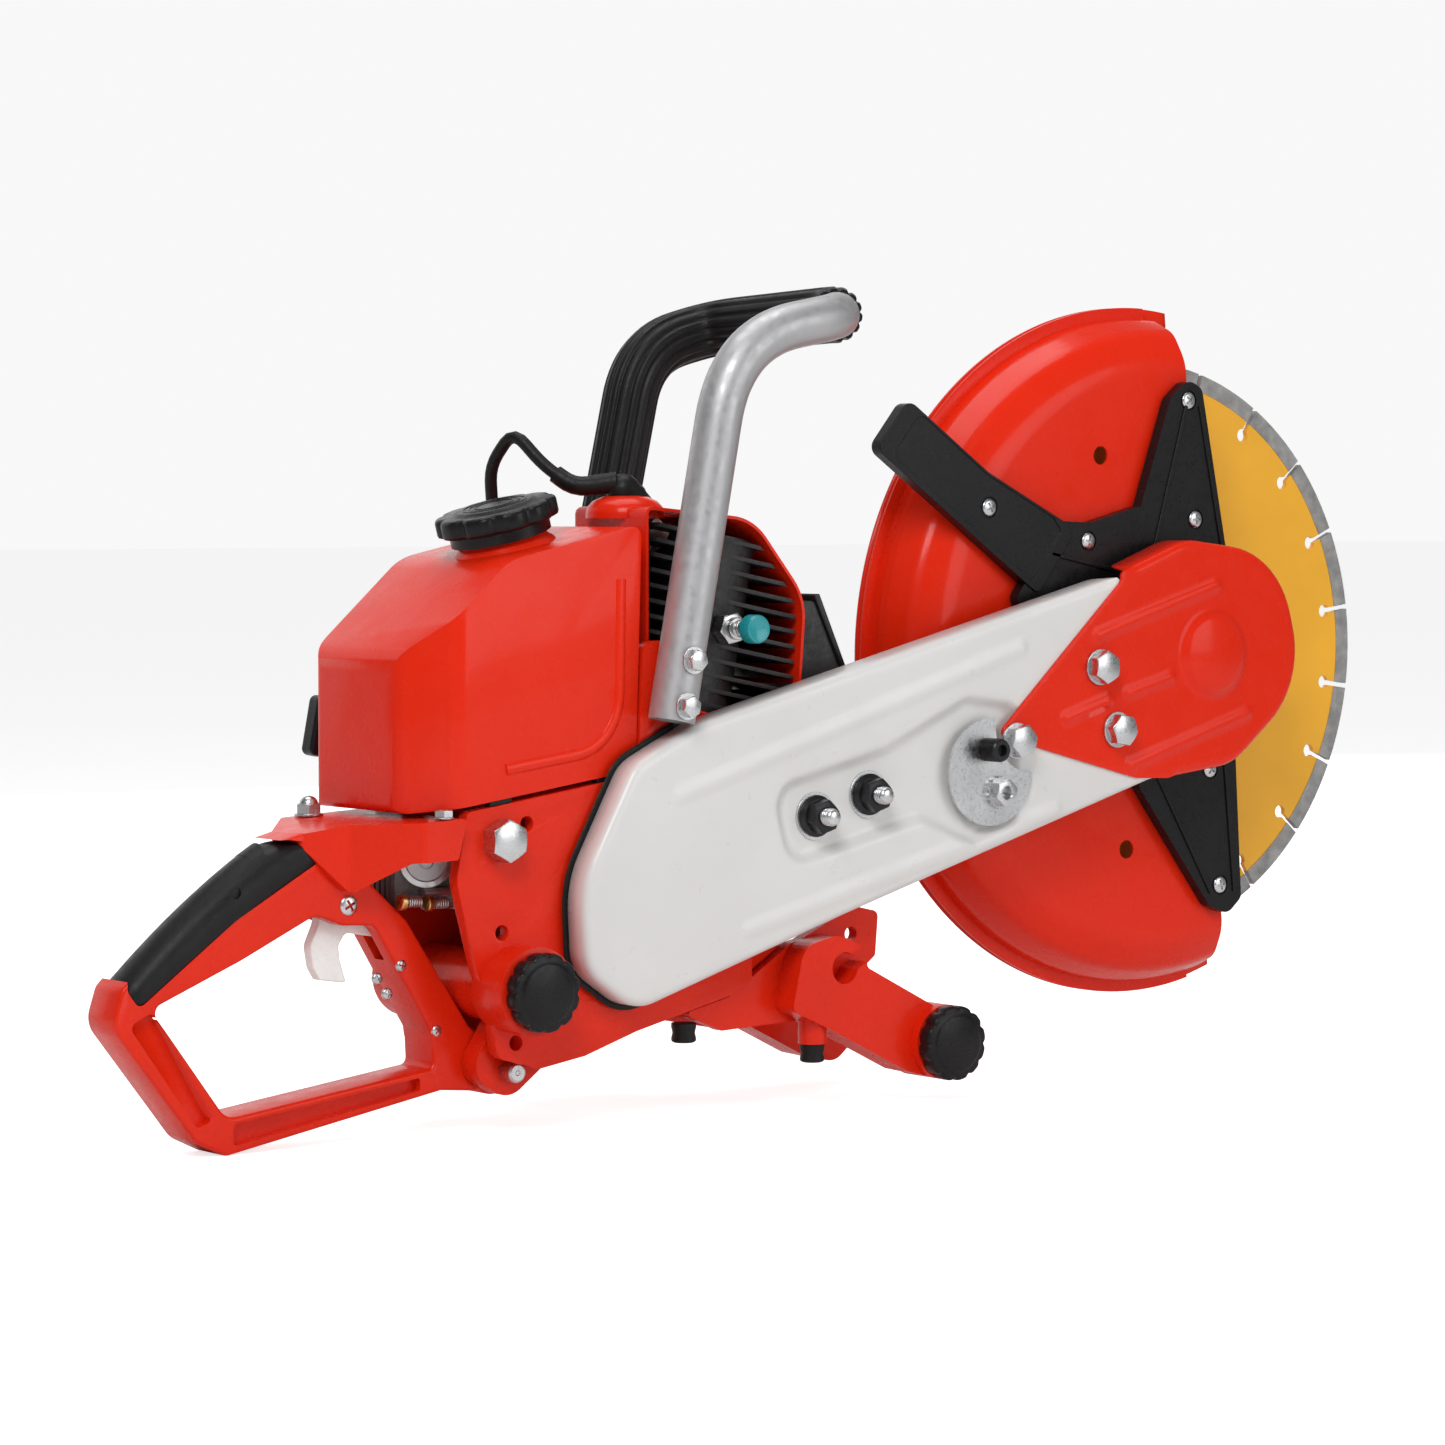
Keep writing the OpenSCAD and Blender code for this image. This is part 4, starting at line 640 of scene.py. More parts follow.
def end_cover():
    face = [(-172, 3.3, 4), (-77, -53, 3), (-53.6, -60.5, 3), (0, -69, 40), (69, -40, 55),
            (69, 42, 55), (0, 71, 40), (-57, 66.5, 3), (-57, 62, 2)]

    def height(p):
        d = np.linalg.norm(p, axis=1)
        h = 6.0 * np.sqrt(np.clip(1 - (d / 27.0) ** 2, 0, 1)) * smoothstep((27 - d) / 5.0)
        for a, b, length in ((-83, 36.5, 96), (-120, -3, 34), (-80, -44, 97)):
            h = np.maximum(h, bead(p, [(a, b), (a + length, b + 0.02 * length)], 4.6, 1.9))
        h = np.maximum(h, bead(p, [(-70, -3), (-36, -3.5)], 4.6, 1.9))
        return h

    def flat_side(p):
        return smoothstep((-44 - p[:, 0]) / 10)

    shape = pressed(rounded(face, 12), COVER_H, height, lambda p: 4.5 - 3.7 * flat_side(p),
                    lambda p: 22.0 - 20.0 * flat_side(p), 2.0)
    piece("end_cover_skin", shape.placed(on_arm()), "machine", RED,
          replaces=("end_cover",), wall=1.3)


def arm_fasteners():
    heads = []
    for k, (u, v) in enumerate(ARM_BOLTS):
        spin = math.radians(12 + 23 * k)
        c, s = math.cos(spin), math.sin(spin)
        head = ring(5.3, 10.5, COVER_H, COVER_H + 2.0, 48) + hexagon(17, COVER_H + 2.0, COVER_H + 9.3)
        turned = Shape(head.points @ np.array([[c, s, 0], [-s, c, 0], [0, 0, 1]]), head.faces)
        heads.append(turned.placed(on_arm(u, v)))
    piece("arm_bolt_heads", joined(heads), "machine", ZINC, replaces=("arm_bolts",),
          bevel=0.35, bevel_steps=2)
    floor = FACE_H - POCKET_DEPTH
    studs = [threaded(5.0, floor - 3, 80.0, 1.5).placed(on_arm(u, v)) for u, v in STUDS]
    washers = [ring(5.1, 13.5, floor, floor + 1.4, 48).placed(on_arm(u, v)) for u, v in STUDS]
    piece("arm_stud_threads", joined(studs), "machine", ZINC, replaces=("arm_studs",), sharp=60)
    piece("arm_stud_washers", joined(washers), "machine", ZINC, bevel=0.3, bevel_steps=2)
    nuts = []
    for u, v in STUDS:
        skirt = lathe([(5.1, floor + 1.4), (11.8, floor + 1.4), (11.8, floor + 2.6), (9.4, floor + 4.2),
                       (5.1, floor + 4.2)], 48, closed=True)
        nuts.append((skirt + hexagon(17, floor + 3.2, floor + 11.6, bore=5.1)).placed(on_arm(u, v)))
    piece("stud_flange_nuts", joined(nuts), "machine", BLACK_STEEL,
          replaces=("stud_nuts",), bevel=0.3, bevel_steps=2)
    u, v = TENSIONER
    profile = [(0, 64), (6.5, 64), (6.5, 81.2), (5.7, 82), (3.4, 82), (3.4, 77.5), (0, 76.5)]
    screw = lathe(profile, 36)
    grooves = joined([ring(6.3, 6.75, 68.6 + 1.1 * k, 69.1 + 1.1 * k, 36) for k in range(11)])
    piece("tensioner_socket_screw", (screw + grooves).placed(on_arm(u, v)), "machine", BLACK_STEEL,
          replaces=("tensioner_screw",), sharp=30)


def tensioner_plate():
    steps = np.linspace(0, 2 * math.pi, 120, endpoint=False)
    outline = []
    for t in steps:
        p = np.array([-182 + 31 * math.cos(t), -15.5 + 31 * math.sin(t)])
        q = p - (-146, 1)
        if np.linalg.norm(q) < 27:
            q = q / np.linalg.norm(q) * 27
            p = np.array([-146, 1]) + q
        outline.append(tuple(p))
    plate = prism(outline, FACE_H + 0.1, COVER_H - 0.2)
    u, v = TENSIONER_NUT
    teeth = [(9.5 if k % 2 else 8.6) for k in range(48)]
    collar = prism([(u + r * math.cos(t), v + r * math.sin(t))
                    for r, t in zip(teeth, np.linspace(0, 2 * math.pi, 48, endpoint=False))],
                   COVER_H - 0.3, COVER_H + 2.0)
    nut = hexagon(14, COVER_H + 2.0, COVER_H + 8.0, bore=4.0).placed(lambda p: p + (u, v, 0))
    inside_thread = lathe([(4.0, COVER_H + 7.9), (3.4, COVER_H + 7.0), (3.4, COVER_H), (4.0, COVER_H)], 32, True)
    parts = plate + collar + nut + inside_thread.placed(lambda p: p + (u, v, 0))
    piece("tensioner_half_moon", parts.placed(on_arm()), "belt_tensioner", ZINC,
          replaces=("tensioner_plate",), bevel=0.3, bevel_steps=2)


# ------------------------------------------------------------------ blade guard

GUARD_TILT = math.radians(5.4)
SHELL_HOLES = [(-54.2, 117.8), (-32.4, -117.5)]
GUARD_SCREWS = [(-147, 87), (-71, 67), (8, 151), (14, 79.8), (27, -71), (35.5, -141.5)]


def shell(profile, cut, steps=150):
    """Half-round pan from (radius, h) pairs, open ahead of a straight cut."""
    points = []
    for r, h in profile:
        half = math.acos(max(-1.0, min(1.0, cut / r)))
        for t in np.linspace(half, 2 * math.pi - half, steps):
            points.append((r * math.cos(t + GUARD_TILT), r * math.sin(t + GUARD_TILT), h))
    return Shape(points, grid_faces(len(profile), steps))


def eased_profile(corners):
    """Open (radius, h) profile with its corners eased."""
    return rounded(corners, 5)


def blade_guard():
    near = [(27.6, 29, 0), (61, 29, 3), (67, 26.4, 3), (120, 26.4, 60), (174, 27.4, 26),
            (191, 18.5, 14), (198.6, 2, 16), (199, -8.1, 1.5), (207.6, -8.1, 0)]
    hub = facing_right(0, ARBOR_Z)
    cuts = [cutter(disc(5.5, 15, 40, 32).placed(facing_right(x, ARBOR_Z + z))) for x, z in SHELL_HOLES]
    piece("blade_guard_near_shell", shell(eased_profile(near), 28.8).placed(hub), "guard", RED,
          replaces=("blade_guard",), wall=1.5, cutters=cuts)
    far = [(24, -33, 0), (158, -33, 8), (187, -26, 12), (198.6, -17, 6), (199, -11.2, 1.0),
           (207.6, -11.2, 0)]
    pan = turned_over(shell(eased_profile(far), 50.7))
    piece("blade_guard_far_shell", pan.placed(hub), "guard", RED,
          replaces=("guard_back_shell",), wall=1.5)


def guard_bracket():
    low, high, proud = 29.2, 36.6, 37.7
    arms = [
        [(-36, 70, 4), (-6.5, 152, 7), (8, 164, 9), (19, 158, 6), (44, 38, 3), (30, 0, 3), (-60, 0, 3)],
        [(-30, 0, 3), (44, 0, 3), (53, -150, 5), (42, -159.5, 8), (27, -154, 8), (-30, -80, 5)],
        [(-128, 32, 6), (-91, 79, 4), (-69, 78, 4), (-30, 88, 4), (0, 48, 3), (0, -12, 3),
         (-60, -12, 3), (-104, 18, 4)],
    ]
    hub = facing_right(0, ARBOR_Z)
    bore = cutter(disc(27.2, 10, 60, 64).placed(hub))
    body = joined([prism(rounded(arm, 6), low + 0.03 * k, high - 0.05 * k) for k, arm in enumerate(arms)])
    body = body + disc(45, low + 0.1, high - 0.2, 64)
    wells = [cutter(disc(6.2, high - 1.0, 60, 32).placed(facing_right(x, ARBOR_Z + z))) for x, z in GUARD_SCREWS]
    piece("guard_bracket_plate", body.placed(hub), "guard", BLACK_PLASTIC,
          replaces=("guard_bracket",), bevel=1.2, cutters=[bore] + wells, crossing=True)
    ribs = []
    for a, b in (((-20, 60), (6, 148)), ((36, 60), (17, 148)), ((36, -40), (47, -146)), ((-24, -60), (28, -146)),
                 ((-50, 50), (-100, 60)), ((-50, 10), (-108, 34))):
        a, b = np.array(a, float), np.array(b, float)
        d = (b - a) / np.linalg.norm(b - a)
        n = np.array([-d[1], d[0]]) * 1.3
        ribs.append(prism([tuple(a - n), tuple(b - n), tuple(b + n), tuple(a + n)], high - 1.0, proud))
    piece("guard_bracket_ribs", joined(ribs).placed(hub), "guard", BLACK_PLASTIC, bevel=0.5)
    handle = [(-231.5, 120.5, 6), (-110, 36, 4), (-84, 70, 4), (-91, 79, 3), (-148.5, 107.5, 3), (-208, 149, 7)]
    rim = np.array(rounded(handle, 6))
    middle = rim.mean(axis=0)
    inner = middle + (rim - middle) * 0.86
    rows = [(rim, low + 0.2), (rim, proud), (inner, proud), (inner, proud - 1.0)]
    points = np.vstack([np.column_stack([outline, np.full(len(outline), h)]) for outline, h in rows])
    n = len(rim)
    faces = grid_faces(len(rows), n, False, True)
    faces += [tuple(reversed(range(n))), tuple(3 * n + k for k in range(n))]
    piece("guard_lever", Shape(points, faces).placed(hub), "guard", BLACK_PLASTIC,
          bevel=0.7, cutters=[cutter(disc(6.2, high - 1.0, 60, 32).placed(facing_right(-147, ARBOR_Z + 87)))])


def pan_screw(radius, low, high):
    """Round-topped screw head with a cross recess."""
    profile = [(0, low), (radius, low), (radius, low + 0.4 * (high - low))]
    profile += [(radius * math.cos(t), low + (high - low) * (0.4 + 0.6 * math.sin(t)))
                for t in np.linspace(0.2, math.pi / 2, 6)]
    return lathe(profile, 28)


def cross_cut(size, low, high):
    half, long = 0.13 * size, 0.62 * size
    arm = [(-long, -half), (long, -half), (long, half), (-long, half)]
    up = [(-half, -long), (half, -long), (half, long), (-half, long)]
    return prism(arm, low, high), prism(up, low, high)


def screws(name, places, body, radius, low, high, replaces=()):
    """Pan-head screws with cross recesses at (x, z) points of the picture plane."""
    heads, cuts = [], []
    for k, (x, z) in enumerate(places):
        place = facing_right(x, z, 0.5 + 0.9 * k)
        heads.append(pan_screw(radius, low, high).placed(place))
        for bar in cross_cut(radius, low + 0.35 * (high - low), high + 1):
            cuts.append(bar.placed(place))
    tools = [cutter(joined(cuts[0::2])), cutter(joined(cuts[1::2]))]
    piece(name, joined(heads), body, ZINC, replaces=replaces, cutters=tools, sharp=35)


# ------------------------------------------------------------------ tank

NECK = np.array([-458.0, 6.0, 320.0])
NECK_AXIS = np.array([-math.sin(TANK_SLOPE), 0.0, math.cos(TANK_SLOPE)])


def fuel_tank():
    side = [(-545, 175, 5), (-415, 194, 10), (-404.5, 206, 8), (-400.4, 330, 6), (-487, 311, 34),
            (-545, 259, 20)]
    plan = [(-545, -20, 18), (-520, -45, 18), (-395, -45, 8), (-395, 65, 8), (-545, 65, 11)]
    body = prism(rounded(side, 12), -65, 45).placed(facing_right(0, 0))
    starter = cutter(disc(80, 44, 80, 120).placed(facing_left(*CRANK)))
    piece("tank_shell", body, "machine", RED, replaces=("fuel_tank",),
          common=cutter(prism(rounded(plan, 12), 100, 400)), bevel=8.5, bevel_steps=7, bores=[starter])
    neck = lathe([(16, -8), (24, -8), (24, 9.4), (23.4, 9.9), (16, 9.9)], 64, True)
    foot = lathe([(23, -5.0), (30, -5.0), (28, -1.5), (25.4, 0.6), (24.2, 4.0), (23, 5.0)], 64, True)
    piece("tank_neck", (neck + foot).placed(along(NECK, NECK_AXIS)), "machine", RED, sharp=50)
    line = smooth_path([(-490, -44.6, 198.6), (-431, -44.6, 206.8), (-415.6, -44.6, 226),
                        (-414.5, -44.6, 300)], [13, 13], 8)
    section = [(0.55 * a, b) for a, b in round_section(3.3, 20)]
    piece("tank_rib", swept(line, section), "machine", RED)


def tank_cap():
    place = along(NECK, NECK_AXIS)
    knob = star_knob(34, 10, 3.0, 9.2, 20.0, crown=1.5, well=0.66).placed(place)
    skirt = lathe([(24.3, 3), (28, 3), (28, 9.4), (24.3, 9.4)], 64, True).placed(place)
    piece("tank_cap_knob", knob + skirt, "filler_cap", BLACK_PLASTIC,
          replaces=("tank_cap",), sharp=50)
    grooves = [ring(17.2 - 3.4 * k, 18.0 - 3.4 * k, 21.0, 21.8, 64) for k in range(3)]
    piece("tank_cap_rings", joined(grooves).placed(place), "filler_cap", BLACK_PLASTIC)
    seal = lathe([(20 + 2.4 * math.cos(t), 10.9 + 0.9 * math.sin(t))
                  for t in np.linspace(0, 2 * math.pi, 14, endpoint=False)], 64, True)
    piece("tank_cap_gasket", seal.placed(place), "cap_ring", RUBBER, replaces=("tank_cap_seal",))


# ------------------------------------------------------------------ ignition lead

PLUG = np.array([-334.8, 0.0, 302.2])
PLUG_AXIS = np.array([-0.7071, 0.0, 0.7071])


def plug_lead():
    path = smooth_path([(-385.5, 0, 353), (-404, 15, 350), (-415, 30, 363), (-424, 46, 382), (-429, 62, 362),
                        (-420, 71, 320), (-412, 72, 236), (-403.5, 70, 220.1)], [8, 8, 10, 10, 20, 8], 8)
    boot = [(0, 44), (9.5, 44), (9.5, 57), (9.9, 58), (9.9, 60), (9.2, 61), (9.4, 66), (8.6, 69.5),
            (6.8, 72.4), (4.0, 74.2), (0, 74.8)]
    sleeve = swept(path[:10], round_section(5.9, 28), scale=np.linspace(1.0, 0.86, 10))
    piece("plug_cable", swept(path, round_section(3.5, 24)) + sleeve, "machine", RUBBER,
          replaces=("plug_lead",), sharp=50)
    piece("plug_boot", lathe(boot, 36).placed(along(PLUG, PLUG_AXIS)), "machine", RUBBER, sharp=50)


# ------------------------------------------------------------------ cylinder

SHROUD = [(-392, 236, 0), (-285, 236, 4), (-281, 288, 34), (-318, 333, 34), (-392, 340, 4)]
VALVE = (-336.0, 271.9)


def flipped(outline):
    """Outline as seen from the other side."""
    return [(-corner[0], *corner[1:]) for corner in reversed(outline)]


def shroud():
    def open_edge(p):
        return (p[:, 0] > 396.5) | (p[:, 1] < 238.8)

    sheet = pressed(rounded(flipped(SHROUD), 14), 35, lambda p: np.zeros(len(p)),
                    lambda p: np.where(open_edge(p), 0.4, 5.0),
                    lambda p: np.where(open_edge(p), 0.5, 71.8), 2.4)
    place = facing_left(0, 0)
    hole = cutter(disc(14.5, 10, 100, 48).placed(along(PLUG, PLUG_AXIS)))
    piece("shroud_sheet", sheet.placed(place), "machine", RED, replaces=("cylinder_shroud",),
          wall=1.8, cutters=[hole])
    dome = lathe([(0, 333), (22, 333), (22, 336), (21, 339.4), (18, 342.6), (13, 345), (7, 345.9),
                  (0, 346)], 64)
    piece("plug_dome", dome.placed(lambda p: p + (-380, 0, 0)), "machine", RED, sharp=50)
    lip = [(-382, 226, 1), (-360, 222, 8), (-342, 217, 8), (-318, 226, 8), (-284, 236, 1), (-285, 239.5, 1),
           (-318, 230.5, 8), (-342, 222.5, 8), (-360, 227, 8), (-382, 230, 1)]
    piece("shroud_lip", prism(rounded(lip, 5), 36.2, 44).placed(facing_right(0, 0)), "machine", RED,
          bevel=1.0)


def decompression():
    place = facing_right(*VALVE, CYLINDER_TILT)
    stem = lathe([(0, 29.5), (5, 29.5), (5, 33), (6.2, 33), (6.2, 46.5), (5.0, 47.0)] +
                 [(4.3 + 0.7 * (k % 2), 47.2 + 0.45 * k) for k in range(8)] +
                 [(4.6, 51.2), (3.1, 51.9), (3.1, 40)], 36)
    piece("valve_body", (hexagon(16, 34, 42.6) + stem).placed(place), "machine", ZINC,
          replaces=("decompression_valve",), bevel=0.25, bevel_steps=2)
    button = lathe([(0, 57), (7.2, 57), (8, 57.8), (8, 64.6), (7.4, 65.7), (6.6, 66), (5.6, 65.6), (0, 65.2)], 48)
    pin = lathe([(0, 42.2), (3, 42.2), (3, 57.2), (0, 57.2)], 28)
    piece("valve_button", (button + pin).placed(place), "decompression_push", TEAL,
          replaces=("decompression_button",), sharp=40)


# ------------------------------------------------------------------ front handle

TUBE_ENDS = [(-391, -59.2, 222.5), (-350.4, -59.2, 431.7), (-262, -59.2, 448.5), (-276, 60, 443),
             (-328, 60, 428), (-371, 60, 236)]


def front_handle():
    path = smooth_path(TUBE_ENDS, [46, 32, 24, 28], 16)
    piece("handle_tube", swept(path, round_section(13, 48), inner=10.5), "machine", TUBE,
          replaces=("front_handle_tube",), sharp=50)
    corner = int(np.argmin(np.linalg.norm(path - (-266, -52, 447), axis=1)))
    wrapped = path[corner:-5]
    angles = np.linspace(0, 2 * math.pi, 160, endpoint=False)
    ribs = [(15.95 - 1.5 * (0.5 + 0.5 * math.cos(14 * t)) ** 3) for t in angles]
    section = [(r * math.cos(t), r * math.sin(t)) for r, t in zip(ribs, angles)]
    ends = np.ones(len(wrapped))
    ends[0] = ends[-1] = 0.93
    piece("handle_sleeve", swept(wrapped, section, scale=ends, inner=13.1), "machine", GRIP_RUBBER,
          replaces=("front_handle_grip",), sharp=55)


# ------------------------------------------------------------------ knobs

REAR_CAP = (-484.0, 80.4)
FRONT_CAP = (-202.1, 34.0)


def star_caps():
    for name, centre, body in (("rear_star_cap", REAR_CAP, "rear_cap"), ("front_star_cap", FRONT_CAP, "front_cap")):
        knob = star_knob(21.5, 12, 1.5, 66.3, 76.0, crown=1.3, well=0.74)
        stem = disc(14.9, 48, 66.8, 40)
        piece(name + "_knob", (knob + stem).placed(facing_right(*centre, 0.2)), body, BLACK_PLASTIC,
              replaces=(name,), sharp=50)


# ------------------------------------------------------------------ rear handle

GRIP = [(-697.6, 80.6, 4), (-640, 123.0, 40), (-588.6, 152.0, 3), (-590, 161.8, 3), (-614, 165.2, 24),
        (-660.4, 136.6, 50), (-706.4, 92.2, 6)]
TRIGGER = [(-582, 87.5, 2), (-565.4, 85.1, 1), (-569.1, 97.1, 8), (-570.3, 105.2, 4), (-565.9, 112, 4),
           (-546.4, 108.7, 2), (-543.8, 114.5, 2), (-556, 124, 5), (-562, 134, 4), (-571, 136.5, 5),
           (-580, 131, 5), (-583, 117, 6), (-588, 106, 8), (-586, 94, 8)]
TRIGGER_SCREW = (-570.7, 127.7)
PIVOT_PIN = (-479.2, 33.9)


def rear_loop():
    loop = [(-713.5, 72, 14), (-664.2, 8.4, 14), (-646.2, -0.26, 8), (-512, 24.4, 4), (-484, 22, 6),
            (-484, 50, 6), (-494, 58, 2), (-534, 118, 6), (-560, 142, 4), (-560, 168, 0),
            (-599.7, 167.3, 12), (-615, 163.2, 20), (-660.4, 134.9, 40), (-707.5, 91, 9)]
    opening = [(-682, 68.7, 10), (-645.6, 19.4, 10), (-517, 37, 4), (-518, 56, 6), (-554, 116, 8),
               (-574, 117, 4), (-590.6, 123.4, 12), (-636, 102, 20), (-690.4, 79.5, 5)]
    grooves = [[(-642, 4.6, 2), (-526, 25.4, 1.6), (-526, 32.4, 1.6), (-642, 16, 2)],
               [(-704, 72, 4), (-664, 16, 2), (-655, 19, 2), (-689, 79, 5)]]
    slot = [(-594, 96, 0), (-538, 96, 0), (-538, 138, 4), (-592, 142, 4)]
    face, back = facing_right(0, 0), facing_left(0, 0)
    bores = [cutter(prism(rounded(GRIP, 10), -20, 20).placed(face)),
             cutter(prism(rounded(slot, 4), -4.6, 4.6).placed(face)),
             cutter(disc(9, -20, 20).placed(facing_right(*PIVOT_PIN)))]
    for groove in grooves:
        bores.append(cutter(prism(rounded(groove, 6), 9.5, 19).placed(face)))
        bores.append(cutter(prism(flipped(rounded(groove, 6)), 9.5, 19).placed(back)))
    piece("handle_loop", prism(rounded(loop, 8), -15, 15).placed(face), "machine", RED_CAST,
          replaces=("rear_handle",), bevel=4.4, bevel_steps=5, bores=bores,
          cutters=[cutter(prism(rounded(opening, 8), -25, 25).placed(face))])
    boss = ring(9, 14, -15, 15, 48).placed(facing_right(*PIVOT_PIN))
    piece("handle_boss", boss, "machine", RED_CAST, bevel=1.2, bevel_steps=3)
    side = [(-600, 160, 3), (-574, 134.5, 3), (-551, 151, 3), (-525, 152, 2), (-519.5, 174, 2),
            (-546, 172.5, 4), (-572, 171, 6), (-600, 167, 3)]
    plan = [(-600, -15, 4), (-575, -22, 6), (-546, -52, 6), (-517, -52, 2), (-517, 52, 2),
            (-572, 52, 6), (-600, 15, 4)]
    hollow = prism([(-548, 135), (-514, 135), (-514, 169), (-548, 167)], -44, 44).placed(face)
    piece("handle_deck", prism(rounded(side, 6), -60, 60).placed(face), "machine", RED_CAST,
          common=cutter(prism(rounded(plan, 6), 100, 300)), cutters=[cutter(hollow)], bevel=2.0,
          bevel_steps=4)


def spaced(line, count):
    """The line as count points the same distance apart."""
    line = np.array(line, float)
    length = np.concatenate([[0], np.cumsum(np.linalg.norm(np.diff(line, axis=0), axis=1))])
    stops = np.linspace(0, length[-1], count)
    return np.column_stack([np.interp(stops, length, line[:, k]) for k in range(line.shape[1])])


def rear_grip():
    """Soft grip, flat below and round on top."""
    count, half = 60, 15.4
    under = spaced(smooth_path([(-697.6, 0, 80.6), (-640, 0, 123.0), (-588.6, 0, 152.0)], [40], 12), count)
    over = spaced(smooth_path([(-706.4, 0, 92.2), (-660.4, 0, 136.6), (-614, 0, 165.2), (-590, 0, 161.8)],
                              [50, 20], 12), count)
    turns = np.linspace(0, math.pi, 33)
    points = []
    for k in range(count):
        power = 0.9 - 0.7 * smoothstep((k / (count - 1) - 0.72) / 0.28)
        section = [(-0.93, 0.0), (0.93, 0.0), (1.0, 0.08)]
        section += [(math.cos(t), 0.30 + 0.70 * max(0.0, math.sin(t)) ** power) for t in turns]
        section += [(-1.0, 0.08)]
        tuck = 1 - 0.10 * max(0, 2 - min(k, count - 1 - k)) / 2
        middle = (under[k] + over[k]) / 2
        for w, v in section:
            spot = under[k] + v * (over[k] - under[k])
            points.append(tuple(middle + tuck * (spot - middle) + np.array([0, tuck * half * w, 0])))
    n = len(section)
    faces = grid_faces(count, n, False, True)
    faces += [tuple(reversed(range(n))), tuple((count - 1) * n + k for k in range(n))]
    marks = [cutter(disc(3.4, 13.5, 20, 40).placed(facing_right(-640, 138))),
             cutter(disc(3.4, 13.5, 20, 40).placed(facing_left(-640, 138)))]
    piece("grip_wrap", Shape(points, faces), "machine", GRIP_RUBBER,
          replaces=("handle_grip",), bores=marks, sharp=45)


def trigger():
    blade = prism(rounded(TRIGGER, 8), -4, 4).placed(facing_right(0, 0))
    hole = cutter(disc(3.05, -10, 10, 32).placed(facing_right(*TRIGGER_SCREW)))
    piece("trigger_blade", blade, "trigger", CLEAR, replaces=("trigger",), bevel=1.3,
          cutters=[hole])


def dome_nut(place, across, low, high):
    crown = [(across * 0.42 * math.cos(t), low + 0.55 * (high - low) + 0.45 * (high - low) * math.sin(t))
             for t in np.linspace(0, math.pi / 2, 8)]
    top = lathe([(0, low + 0.4 * (high - low)), (across * 0.42, low + 0.4 * (high - low))] + crown, 32)
    return (hexagon(across, low, low + 0.6 * (high - low)) + top).placed(place)


def handle_fasteners():
    heads = hexagon(20.6, 46.1, 57.6).placed(facing_right(-495, 161, math.pi / 6))
    heads += dome_nut(lambda p: p + (-560, 43, 0), 12.6, 172.4, 183.0)
    heads += ring(3, 8.0, 171.95, 173.2, 40).placed(lambda p: p + (-560, 43, 0))
    heads += hexagon(9.4, 174.6, 178.6).placed(lambda p: p + (-530, -45, 0))
    heads += ring(2.4, 5.6, 173.7, 174.6, 36).placed(lambda p: p + (-530, -45, 0))
    for k, (x, z) in enumerate(((-390, 231), (-385.5, 256))):
        heads += ring(3, 7.6, 72.4, 73.6, 40).placed(facing_right(x, z))
        heads += hexagon(10.6, 73.6, 78.2).placed(facing_right(x, z, 0.3 + 0.5 * k))
        heads += ring(3, 7.6, 73.2, 74.4, 40).placed(facing_left(x + 18, z + 14))
        heads += hexagon(10.6, 74.4, 79.0).placed(facing_left(x + 18, z + 14, 0.3 + 0.5 * k))
    pin = lathe([(0, -34), (5.5, -34), (5.5, 38.8), (4.4, 39.9), (1.6, 39.9), (1.0, 39.2), (0, 39.2)], 40)
    heads += pin.placed(facing_right(*PIVOT_PIN))
    piece("handle_bolts", heads, "machine", ZINC, replaces=("handle_hardware",), bevel=0.35, bevel_steps=2)
    screws("trigger_pivot_screw", [TRIGGER_SCREW], "machine", 5.5, 14.0, 16.8)
    screws("post_screws", [(-552.7, 87.6), (-537.5, 93.7), (-515, 57), (-546.5, 79)], "machine", 3.2, 13.6, 16.0)


# ------------------------------------------------------------------ carburettor

def spring(radius, wire, turns, low, high, steps=12):
    """Coil spring along h."""
    angles = np.linspace(0, 2 * math.pi * turns, int(turns * steps) + 1)
    path = np.column_stack([radius * np.cos(angles), radius * np.sin(angles), np.linspace(low, high, len(angles))])
    return swept(path, round_section(wire, 8), side=(0, 0, 1))


def carburettor_details():
    cover = lathe([(0, 0), (15.5, 0), (15.5, 7), (14.4, 9.4), (11.6, 10), (10.8, 9), (4.5, 9),
                   (3.6, 10.6), (0, 10.6)], 48)
    piece("carburettor_cover", cover.placed(along((-519, -8, 149), (-0.45, -1, 0.05))), "machine", CAST_ALLOY,
          sharp=35)
    for k, (x, y, z) in enumerate(((-541, -18, 128), (-526, -21, 127))):
        place = along((x, y, z), (1, 0, 0))
        head = lathe([(0, 0), (3.9, 0), (4.4, 0.5), (4.4, 3.0), (3.9, 3.5), (1.8, 3.6), (1.8, 13.5), (0, 13.5)], 28)
        slit = cutter(prism([(-5, -0.45), (5, -0.45), (5, 0.45), (-5, 0.45)], -1, 1.1).placed(place))
        piece(f"mixture_screw_{k}", head.placed(place), "machine", BRASS, cutters=[slit], sharp=35)
        piece(f"mixture_spring_{k}", spring(2.9, 0.5, 6, 4.2, 13.0).placed(place), "machine", STEEL)
    boot = [(12.2, 0.2), (15.4, 0.2), (16, 1.5), (16, 4), (14.2, 6), (14.2, 7.5), (16, 9.5), (16, 11),
            (14.2, 13), (16, 15.5), (16, 18.6), (12.2, 18.6)]
    piece("intake_bellows", lathe(boot, 48, True).placed(along((-475, 0, 141), (1, 0, 0))), "machine", RUBBER,
          replaces=("intake_boot",), sharp=50)


# ------------------------------------------------------------------ starter and belt

